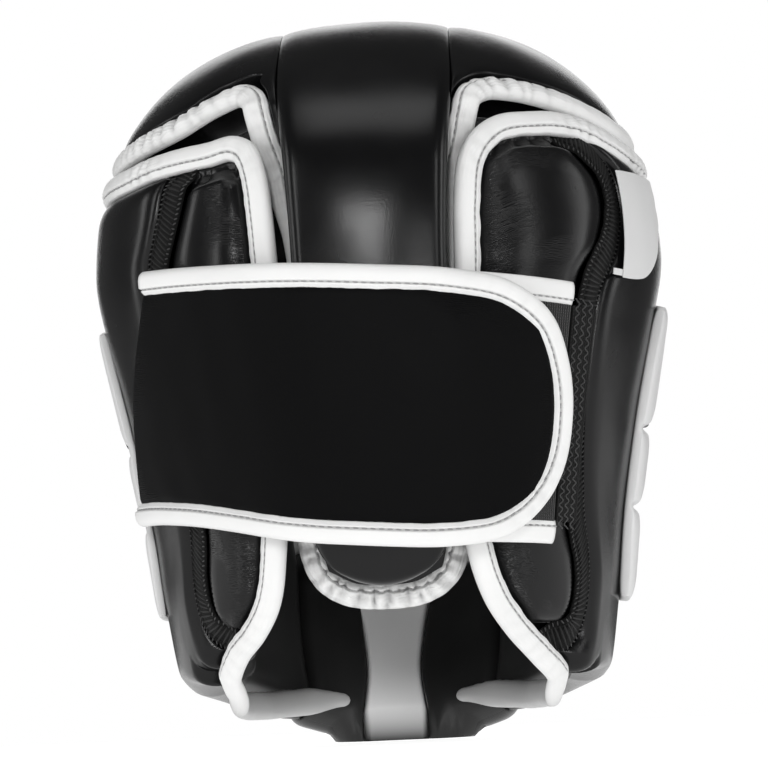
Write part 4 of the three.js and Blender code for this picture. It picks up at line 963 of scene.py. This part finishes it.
# The sides: shell with its ear hole, rear flap, woven tape, bindings, cheek guard
shells = {"thick": 26.0, "round": 11.0, "step": 2.2, "trim": bindings["wide"] / 2 + 1.5}
shellSeam = {"high": -4.5, "deep": -13.0, "turn": 95, "turnOver": 25, "low": 50, "lowOver": 30}
ears = {"high": 21.0, "wide": 13.0, "turn": 97, "rise": 0.5, "count": 64}
ears["ring"] = {"wide": 4.0, "thick": 4.6, "inwards": 3.2, "sunk": 3.0}
flaps = {"thick": 14.0, "round": 9.0, "step": 1.1, "margin": 0.6, "seam": -4.6, "fill": 0.7}
puckers = {"reach": 7.0, "fade": 5, "wave": 2.7, "drift": 7, "high": 1.2, "deep": 3.2}
creases = {"beside": 7, "sheen": 17, "sheenWide": 6, "sheenShare": 0.7, "below": 9}
backings = {"at": -7.5, "thick": 1.5, "past": 3.9, "heel": (3.6, 0.014), "foot": (4.6, -0.006)}
tapes = {"wide": 13.0, "thick": 2.5, "shown": 15.4, "lift": -2.4, "tilt": 3.6, "buried": 3.4}
guards = {"channels": (0.43, 0.69), "groove": 3.5, "round": 8.0, "step": 2.0, "sunk": {1: 2.6, -1: 0.6}}
channel = {"line": 1.5, "slope": 5, "soft": 0.45, "share": 0.75, "rows": 6.0}
tapeTrim, tapeEnd = tapes["wide"] / 2 + 1.8, bindings["wide"] / 2 - 2.5


def oval(centre, more, count, aside=0.0):  # a ring round the ear hole's edge
    angles = np.linspace(0, 2 * math.pi, count, endpoint=False)
    ring = [0 * angles + aside, (ears["wide"] + more) * np.cos(angles), (ears["high"] + more) * np.sin(angles)]
    return np.stack(ring, -1) + centre


def cutEar(piece, side):  # by an oval plug that widens towards both faces, so the hole's edges roll over
    centre, n = formPoint(ears["turn"], ears["rise"], side), ears["count"]
    deep = -shells["thick"] - layers["guard"]
    depths = (-40.0, deep + 8, deep + 12, deep + 18, -4, 2, 5.5, 8.0, 14.0)
    wider = (13.7, 6.7, 1.2, -0.3, -0.3, 0.2, 3.2, 7.7, 13.7)
    points = np.concatenate([oval(centre, more, n, side * depth) for depth, more in zip(depths, wider)])
    i, rows = np.arange(n), np.arange(len(depths) - 1)[:, None] * n
    walls = np.stack([rows + i, rows + (i + 1) % n, rows + n + (i + 1) % n, rows + n + i], -1).reshape(-1, 4).tolist()
    caps = [list(range(n))[::-1], list(range(len(points) - n, len(points)))]
    plug = outward(meshPiece("earPlug", points, walls + caps, finishes["black"]))
    modifier = piece.modifiers.new("earHole", "BOOLEAN")
    modifier.operation, modifier.solver, modifier.object = "DIFFERENCE", "EXACT", plug
    apply(piece, modifier)
    bpy.data.objects.remove(plug)
    return piece


def makeShell(side, tag, letter):
    top = between(flapCourse, "tapeTop", "brow") + [browSeam[1]]
    fore = browSeam[1:-1] + between(faceCourse, "corner", "jaw") + chinSeam[1:]
    low = between(flapCourse, "tapeEnd", "foot") + lowerRim[1:7]

    def seamLift(p):
        fore = smooth((np.abs(turnOf(p)) - shellSeam["turn"]) / shellSeam["turnOver"])
        low = smooth((shellSeam["low"] - p[..., 2]) / shellSeam["lowOver"])
        return mix(shellSeam["high"], shellSeam["deep"], np.maximum(fore, low))

    sizes = {
        "outer": 0, "inner": -shells["thick"], "round": shells["round"], "crown": 1.0, "step": shells["step"],
        "trims": {**dict.fromkeys(("bottom", "front"), shells["trim"]), "rear": tapeTrim, "top": shells["trim"] - 1.2},
        "seamLift": seamLift, "lining": finishes["inner"],
    }
    edges = edgesOf(side, tapeCourse, fore, top, low)
    piece = padPiece("sideShell" + tag, edges, sizes, finishes["black"], uneven(0.35, 70, 41 + side, 12))
    settle(cutEar(piece, side), ["side_shell_" + letter])


def makeFlap(side, tag, letter):
    rear, fore = between(flapCourse, "corner", "heel"), between(tapeCourse, "top", "heel")
    top, low = between(flapCourse, "corner", "tapeTop"), changed([rear[-1], fore[-1]], bound=0)
    sizes = {
        "outer": 0.5, "inner": -flaps["thick"], "round": flaps["round"], "crown": 2.6, "step": flaps["step"],
        "margin": flaps["margin"], "seamLift": flaps["seam"],
        "trims": {"front": tapeTrim - 2.0, **dict.fromkeys(("rear", "top"), shells["trim"] - 1.2)},
    }
    soft = uneven(0.4, 45, 51 + side, 8)

    def relief(u, v, p, x, y, near):
        wave = np.abs(np.sin(x / puckers["wave"] + 0.9 * np.sin(x / puckers["drift"] + side))) ** 0.7 - 0.6
        hollow = 1 - smooth((y - puckers["reach"] + 1.5 * np.sin(x / 9)) / puckers["fade"])
        hollow = hollow * smooth(near / 3)
        return soft(u, v, p, x, y, near) + hollow * (wave * puckers["high"] - puckers["deep"])

    def crease(u, x, y, near):
        beside = np.exp(-((np.maximum(x - 3, 0) / creases["beside"]) ** 2))
        beside = beside * smooth((ripple(x, y, 50, 61 + side, 2) + 0.45) / 0.6)
        sheen = creases["sheenShare"] * np.exp(-(((x - creases["sheen"]) / creases["sheenWide"]) ** 2))
        sheen = sheen * smooth((ripple(x, y, 26, 71 + side, 2) - 0.05) / 0.4)
        return np.clip((beside + sheen) * smooth((near - 0.5) / 2) * smooth((y - creases["below"]) / 5), 0, 1)

    piece = padPiece("rearFlap" + tag, edgesOf(side, rear, fore, top, low), sizes, finishes["black"], relief, crease)
    settle(piece, ["flap_" + letter])


def makeBacking(side, tag, letter):  # the leather behind the flap, which closes the slits beside the tape
    def moved(row, more, fall):
        turn, rise, given = row
        right = {"turnR": given.get("turnR", turn) + more, "riseR": given.get("riseR", rise) - fall}
        return (turn + more, rise - fall, right)

    rear, beside = between(flapCourse, "corner", "foot"), between(tapeCourse, "top", "heel")
    fore = [moved(row, backings["past"], 0.0) for row in beside[:-1]]
    fore += [moved(beside[-1], *backings["heel"]), moved(flapCourse[-1], *backings["foot"])]
    top, low = [rear[0], between(flapCourse, "corner", "tapeTop")[-1], fore[0]], [rear[-1], fore[-1]]
    out = backings["at"]
    sizes = {"outer": out, "inner": out - backings["thick"], "round": 1.0, "rim": 0.5, "step": 2.5}
    edges = edgesOf(side, rear, fore, top, low, bound=0.0)
    rideAs(padPiece("flapBacking" + tag, edges, sizes, finishes["black"]))


def makeGuard(side, tag, letter):
    tall = (guardRear[0][1] - guardRear[-1][1]) * form["height"]

    def relief(u, v, p, x, y, near):
        away = [(v - at) * tall for at in guards["channels"]]
        bell = lambda far, size: np.exp(-((far / channel[size]) ** 2))
        lines = sum(bell(far, "line") + channel["soft"] * bell(far, "slope") for far in away)
        full = quarter(near, guards["round"])
        return -guards["groove"] * channel["share"] * lines * full + 0.25 * ripple(x, y, 60, 71 + side, 2) * full

    sizes = {
        "outer": layers["guard"] - guards["sunk"][side], "inner": 0.4, "round": guards["round"], "crown": 1.0,
        "step": guards["step"], "rows": [(at, channel["rows"] / tall) for at in guards["channels"]],
    }
    edges = edgesOf(side, guardRear, guardFront, guardTop, guardBottom, bound=0.0)
    piece = padPiece("cheekGuard" + tag, edges, sizes, finishes["guard"], relief)
    settle(cutEar(piece, side), ["cheek_guard_" + letter])


def makeEarRing(side, tag, letter):
    ring = oval(formPoint(ears["turn"], ears["rise"], side), -ears["ring"]["inwards"], 24)
    path, size = Edge(seat(np.concatenate([ring, ring[:1]]))), ears["ring"]
    sizes = {**size, "lift": layers["guard"] - size["sunk"], "closed": True, "rough": 0.05, "step": 1.0}
    settle(bandPiece("earRing" + tag, path, sizes, finishes["black"]), ["ear_ring_" + letter])


def makeTape(side, tag, letter):
    path = edgeOf(tapeCourse, side)

    def lift(p, share):
        shown = smooth((share * path.length - 5) / 8) + smooth(((1 - share) * path.length - 8) / 8)
        return tapes["lift"] - tapes["buried"] * (2 - shown)

    band = {
        "wide": tapes["shown"], "thick": tapes["thick"], "tilt": -side * tapes["tilt"], "rough": 0.2, "seed": 12 + side,
        "lift": lift, "start": tapeEnd / path.length, "stop": 1 - tapeEnd / path.length,
    }
    settle(bandPiece("edgeTape" + tag, path, band, finishes["tape"]), ["edge_tape_" + letter])
    return path, band


rimBand = {"stop": 0.985, "tip": 0.12, "round": 7, "taper": 42, "fuller": 0.12}
flapGathers = {
    side: ((0.33, 0.03, 0.6), (0.2, 0.05, amount), (0.46, 0.03, 0.3), (0.62, 0.06, 0.15), (0.93, 0.05, 0.3))
    for side, amount in ((1, 0.35), (-1, 0.75))
}


def makeFlapBinding(side, tag, letter):  # one band for the flap and the rim, with its foot where they meet
    deep = shells["thick"] + bindings["thick"]
    rows = between(flapCourse, "brow", "foot")[:-1]
    path = edgeOf(changed(rows, lift=bindings["lift"] / deep) + rimCourse, side)
    foot = path.reach[spanSteps * len(rows)] / path.length

    def size(share):
        rest = (rimBand["stop"] - share) * path.length
        end = np.maximum(rimBand["tip"], quarter(rest, rimBand["round"])) * mix(0.5, 1, smooth(rest / rimBand["taper"]))
        return (1 + rimBand["fuller"] * smooth((share - foot) / 0.1)) * end

    # past the foot, on the rim, the band is plain and painted darker, as shade
    band = {
        **bindings, "rough": 0.2, "seed": 20 + side, "stop": rimBand["stop"],
        "lift": lambda p, share: path.lift(share) * deep, "plain": lambda share: smooth((share - foot + 0.01) / 0.03),
        "size": size, "gather": [(at * foot, wide * foot, amount) for at, wide, amount in flapGathers[side]],
    }
    nodes = ["flap_binding_" + letter, "rim_binding_" + letter]
    settle(bandPiece("flapBinding" + tag, path, band, finishes["white"], side), nodes)
    return path, {**band, "stop": foot}


tapeBands, flapBands = {}, {}
for side, tag, letter in sideTags:
    for make in (makeShell, makeFlap, makeBacking, makeGuard, makeEarRing):
        make(side, tag, letter)
    tapeBands[side] = makeTape(side, tag, letter)
    flapBands[side] = makeFlapBinding(side, tag, letter)
    print("side made:", tag)

# The straps across the back: the loop strap and its elastic below, the closure strap over them
straps = {"wide": 9.0, "thick": 7.0, "flat": 13.0, "fall": 34.0, "trim": 4.1, "step": 1.5, "clear": 0.2, "lap": 22}
loopPlace = {"start": 8, "bound": -39.5, "sewn": -46.5, "top": (0.6, 0.578), "bottom": (0.289, 0.27)}


def bridge(p):  # the straps lie low at the sides and cross the spine pad high
    over = layers["spineProud"] + layers["gap"] - layers["near"]
    return layers["near"] + over * (1 - smooth((np.abs(turnOf(p)) - straps["flat"]) / straps["fall"]))


def closureInner(p):
    onLoop = 1 - smooth((turnOf(p) - loopPlace["start"]) / straps["lap"])
    return bridge(p) + (layers["loop"] + layers["gap"] + 0.3) * onLoop


def strapPiece(name, courses, bounds, sizes, finish, relief, crease=None):
    edges = tuple(edgeOf(changed(rows, bound=bound)) for rows, bound in zip(courses, (*bounds, 1, 1)))
    trims = dict.fromkeys(("rear", "front", "top", "bottom"), straps["trim"])
    return padPiece(name, edges, {"trims": trims, "step": straps["step"], **sizes}, finish, relief, crease)


def makeClosure():
    sizes = {
        "outer": lambda p: closureInner(p) + layers["closure"], "inner": lambda p: closureInner(p) + straps["clear"],
        "round": 3.0, "rim": 1.2,
    }

    def crease(u, x, y, near):
        ends = np.exp(-((near / 9) ** 2)) * smooth((ripple(x, y, 35, 83, 2) + 0.3) / 0.6)
        return np.clip(ends * smooth((np.abs(u - 0.45) - 0.2) / 0.2), 0, 1)

    courses = (closureRoot, closureEnd, closureTop, closureBottom)
    piece = strapPiece("closureStrap", courses, (0, 1), sizes, finishes["strap"], uneven(0.35, 50, 81, 5, 3), crease)
    settle(piece, ["closure_strap"])


def loopRow(turn, share):
    along = max(0, turn / loopPlace["sewn"])
    return (turn, mix(mix(*loopPlace["top"], along), mix(*loopPlace["bottom"], along), share))


def loopTurns(start, stop, share):
    return [loopRow(mix(start, stop, i / 4), share) for i in range(5)]


def makeLoopPart(name, node, start, stop, finish, slotName):
    rear, fore = ([loopRow(turn, share) for share in (0, 0.33, 0.67, 1)] for turn in (start, stop))
    sizes = {
        "outer": lambda p: bridge(p) + layers["loop"] - straps["clear"],
        "inner": lambda p: bridge(p) + straps["clear"],
        "round": 1.5, "rim": 0.9,
    }
    courses = (rear, fore, loopTurns(start, stop, 0), loopTurns(start, stop, 1))
    settle(strapPiece(name, courses, (0, 0), sizes, finish, uneven(0.25, 18, 91, 2, 3)), [node])


makeClosure()
makeLoopPart("loopStrap", "loop_strap", loopPlace["start"], loopPlace["bound"], finishes["pile"], "loop_pile")
elasticEnds = loopPlace["bound"] + 0.1, loopPlace["sewn"] - 0.8
makeLoopPart("elasticKnit", "elastic", *elasticEnds, finishes["knit"], "black_webbing")
closurePath = edgeOf(closureTop + closureEnd[1:-1] + closureBottom[::-1])
closureBand = {
    "wide": straps["wide"], "thick": straps["thick"], "rough": 0.12, "seed": 41,
    "lift": lambda p, share: closureInner(p) + straps["thick"] / 2, "gather": ((0.36, 0.05, 0.2), (0.56, 0.04, 0.3)),
}
piece = bandPiece("closureBinding", closurePath, closureBand, finishes["white"])
settle(piece, ["closure_binding"])
loopBands = []
for tag, share, lip in (("Top", 0, 1), ("Bottom", 1, -1)):
    path = edgeOf(loopTurns(loopPlace["start"], loopPlace["bound"], share))
    band = {
        "wide": straps["wide"], "thick": layers["loop"], "rough": 0.1, "seed": 50 + share,
        "lift": lambda p, share: bridge(p) + layers["loop"] / 2,
    }
    loopBands.append((path, band, lip))
    piece = bandPiece("loopBinding" + tag, path, band, finishes["white"], lip)
    settle(piece, ["loop_binding_" + tag.lower()])
print("straps made")

# The bare care label, with its lower front corner cut at a slant, and a narrow folded strip
label = {"rear": -56.2, "front": -78, "top": 0.754, "bottom": 0.607, "cut": 0.69, "thick": 0.5, "lift": 1.2}
labelShares = (0, 0.25, 0.5, 0.65, 0.75, 0.85, 1)
labelTag = {"turns": (-53, -59), "rises": ((0.622, 0.621), (0.61, 0.6085)), "inner": 0.7, "outer": 0.1, "step": 1.0}


def makeLabel():
    down = lambda turn, low: [(turn, mix(label["top"], low, share)) for share in (0, 0.5, 1)]
    low = [
        (mix(label["rear"], label["front"], share), mix(label["bottom"], label["cut"], share**4))
        for share in labelShares
    ]
    rear, fore = down(label["rear"], label["bottom"]), down(label["front"], label["cut"])
    edges = edgesOf(1, rear, fore, [rear[0], fore[0]], low, bound=0.0)
    sizes = {"outer": label["lift"] + label["thick"], "inner": label["lift"], "round": 0.3, "rim": 0.15, "step": 1.5}
    relief = lambda u, v, p, x, y, near: 0.25 * ripple(x, y, 26, 95, 2)
    piece = padPiece("careLabel", edges, sizes, finishes["label"], relief)
    top, bottom = ([*zip(labelTag["turns"], rises)] for rises in labelTag["rises"])
    tagEdges = edgesOf(1, [top[0], bottom[0]], [top[1], bottom[1]], top, bottom, bound=0.0)
    tagSizes = {"outer": label["lift"] - labelTag["outer"], "inner": label["lift"] - labelTag["inner"]}
    folded = padPiece("labelFold", tagEdges, {**sizes, **tagSizes, "step": labelTag["step"]}, finishes["label"])
    rideAs(folded)
    settle(piece, ["care_label"])


makeLabel()
print("label made")

# Stitches, tape ribs and overlock threads, all from the one Geometry Nodes tree
quarterTurn = math.pi / 2
stitchKeys = ("Pitch", "Length", "Thickness", "Lean", "Scatter", "Seed")
stitch = dict(zip(stitchKeys, (0.0031, 0.0021, 0.00075, 0.08, 0.06, 5)))
ribs = dict(zip(stitchKeys, (0.0019, 0.0122, 0.0011, quarterTurn + 0.22, 0.03, 7)))
overlock = dict(zip(stitchKeys, (0.0019, 0.0024, 0.0006, quarterTurn - 0.3, 0.3, 9)))
sewn = dict(zip(stitchKeys, (0.0011, 0.0014, 0.0006, 0.0, 0.05, 13)))
sinks = {"stitch": 0.9, "loopStitch": 0.35, "rib": 0.3, "overlock": -0.25}
lockPlaces = (-0.86, 0.86)
elasticSeams = {"turns": (-40.9, -42.9, -44.9), "shares": (0.02, 0.35, 0.68, 0.98), "swing": 1.0, "pitch": 1.7}


def zigzag(turn):
    path = edgeOf([loopRow(turn, share) for share in elasticSeams["shares"]])
    count = round(path.length / elasticSeams["pitch"])
    base, normal, across = bandFrame(path, np.linspace(0, 1, count))
    swing = elasticSeams["swing"] * np.where(np.arange(count) % 2 == 0, 1, -1)[:, None]
    return base + across * swing + normal * (bridge(base) + layers["loop"] - 0.1)[:, None], across


grooveAt = foldSection["groove"]
lines = [seamOn(crownPath, crownBand, -grooveAt, sinks["stitch"])]
lines += [seamOn(*flapBands[side], side * grooveAt, sinks["stitch"]) for side in (1, -1)]
lines.append(seamOn(closurePath, closureBand, grooveAt, sinks["stitch"]))
lines.append(seamOn(facePath, faceBand, -grooveAt, sinks["stitch"], True))
lines += [seamOn(path, band, lip * grooveAt, sinks["loopStitch"]) for path, band, lip in loopBands]
ribLines = [seamOn(*tapeBands[side], 0.0, sinks["rib"]) for side in (1, -1)]
ribLines[1] = (ribLines[1][0], -ribLines[1][1])  # the ribs lean the other way on the wearer's right
lockLines = [seamOn(*tapeBands[side], at, sinks["overlock"]) for side in (1, -1) for at in lockPlaces]
zigzags = [zigzag(turn) for turn in elasticSeams["turns"]]
piecesAlong("bindingStitches", lines, stitch, finishes["stitchThreadPaintedShade"])
piecesAlong("tapeRibs", ribLines, ribs, finishes["rib"])
piecesAlong("tapeOverlock", lockLines, overlock, finishes["darkThread"])
piecesAlong("elasticStitches", zigzags, sewn, finishes["darkThread"])
print("stitches made")

# Floor, lights and camera
stageSizes = {"wide": 3.2, "front": -0.75, "back": 2.2, "lift": -0.0006}
floorFinish, floorTree, floorShader = startFinish("paleFloor", {
    "Roughness": 0.9, "Specular IOR Level": 0.1, "Emission Color": grey(1), "Emission Strength": 0.9,
})
place = addNode(floorTree, "ShaderNodeTexCoord").outputs["Object"]
speckle = addNode(floorTree, "ShaderNodeTexNoise", {"Vector": place, "Scale": 4}).outputs["Fac"]
floorTree.links.new(blendColor(floorTree, speckle, grey(0.42), grey(0.46)), floorShader["Base Color"])
half, near, far = 500 * stageSizes["wide"], 1000 * stageSizes["front"], 1000 * stageSizes["back"]
corners = [(-half, near, 0), (half, near, 0), (half, far, 0), (-half, far, 0)]
floor = meshPiece("floor", corners, [(0, 1, 2, 3)], floorFinish)
floor.data.transform(Matrix.Translation((0, 0, stageSizes["lift"])))

world = bpy.data.worlds.new("studio")
bpy.context.scene.world = world
world.use_nodes = True
world.node_tree.nodes.clear()
lit, seen = (
    addNode(world.node_tree, "ShaderNodeBackground", {"Color": grey(1), "Strength": strength}).outputs[0]
    for strength in (0.1, 1.0)
)
ray = addNode(world.node_tree, "ShaderNodeLightPath").outputs["Is Camera Ray"]
choose = addNode(world.node_tree, "ShaderNodeMixShader", {0: ray, 1: lit, 2: seen})
addNode(world.node_tree, "ShaderNodeOutputWorld", {0: choose.outputs[0]})

lamps = {  # place, size, power
    "keyLeft": ((1.5, 1.35, 0.75), (0.35, 1.5), 10),
    "keyRight": ((-1.5, 1.3, 0.75), (0.35, 1.5), 6.5),
    "edgeLeft": ((1.9, -0.1, 0.5), (0.5, 1.4), 7),
    "edgeRight": ((-1.9, -0.1, 0.5), (0.5, 1.4), 7),
    "top": ((0, 0.4, 2.0), (1.2, 0.8), 6),
    "aboveCamera": ((0.12, 2.4, 0.56), (0.22, 0.42), 15),
    "lowFill": ((-0.75, 2.0, 0.06), (0.5, 0.25), 8),
    "frontFill": ((0, -2.2, 0.9), (1.6, 1.4), 12),
}
view = {"turn": 1.8, "away": 1.5, "high": 0.015, "roll": 2.5, "focal": 3836, "sensor": 36, "pixels": 768}
objectMiddle = Vector((0, middle[1] / 1000, form["height"] / 2000))
lampAim = Vector((0, 0, form["height"] / 2000))


def facing(spot, aim):
    return (aim - Vector(spot)).to_track_quat("-Z", "Y")


for name, (place, size, power) in lamps.items():
    data = bpy.data.lights.new(name, "AREA")
    data.shape, data.energy = "RECTANGLE", power
    data.size, data.size_y = size
    light = linked(name, data)
    light.location, light.rotation_euler = place, facing(place, lampAim).to_euler()

turn = math.radians(view["turn"])
spot = Vector((-view["away"] * math.sin(turn), view["away"] * math.cos(turn) + objectMiddle.y, view["high"]))
cameraData = bpy.data.cameras.new("camera")
cameraData.sensor_width = view["sensor"]
cameraData.lens = view["focal"] * view["sensor"] / view["pixels"]
cameraData.clip_start, cameraData.clip_end = 0.1, 50
camera = linked("camera", cameraData)
rolled = Matrix.Rotation(math.radians(-view["roll"]), 4, "Z")
camera.matrix_world = Matrix.Translation(spot) @ facing(spot, objectMiddle).to_matrix().to_4x4() @ rolled
bpy.context.scene.camera = camera
bpy.context.scene.view_settings.view_transform = "Standard"
print("stage made")
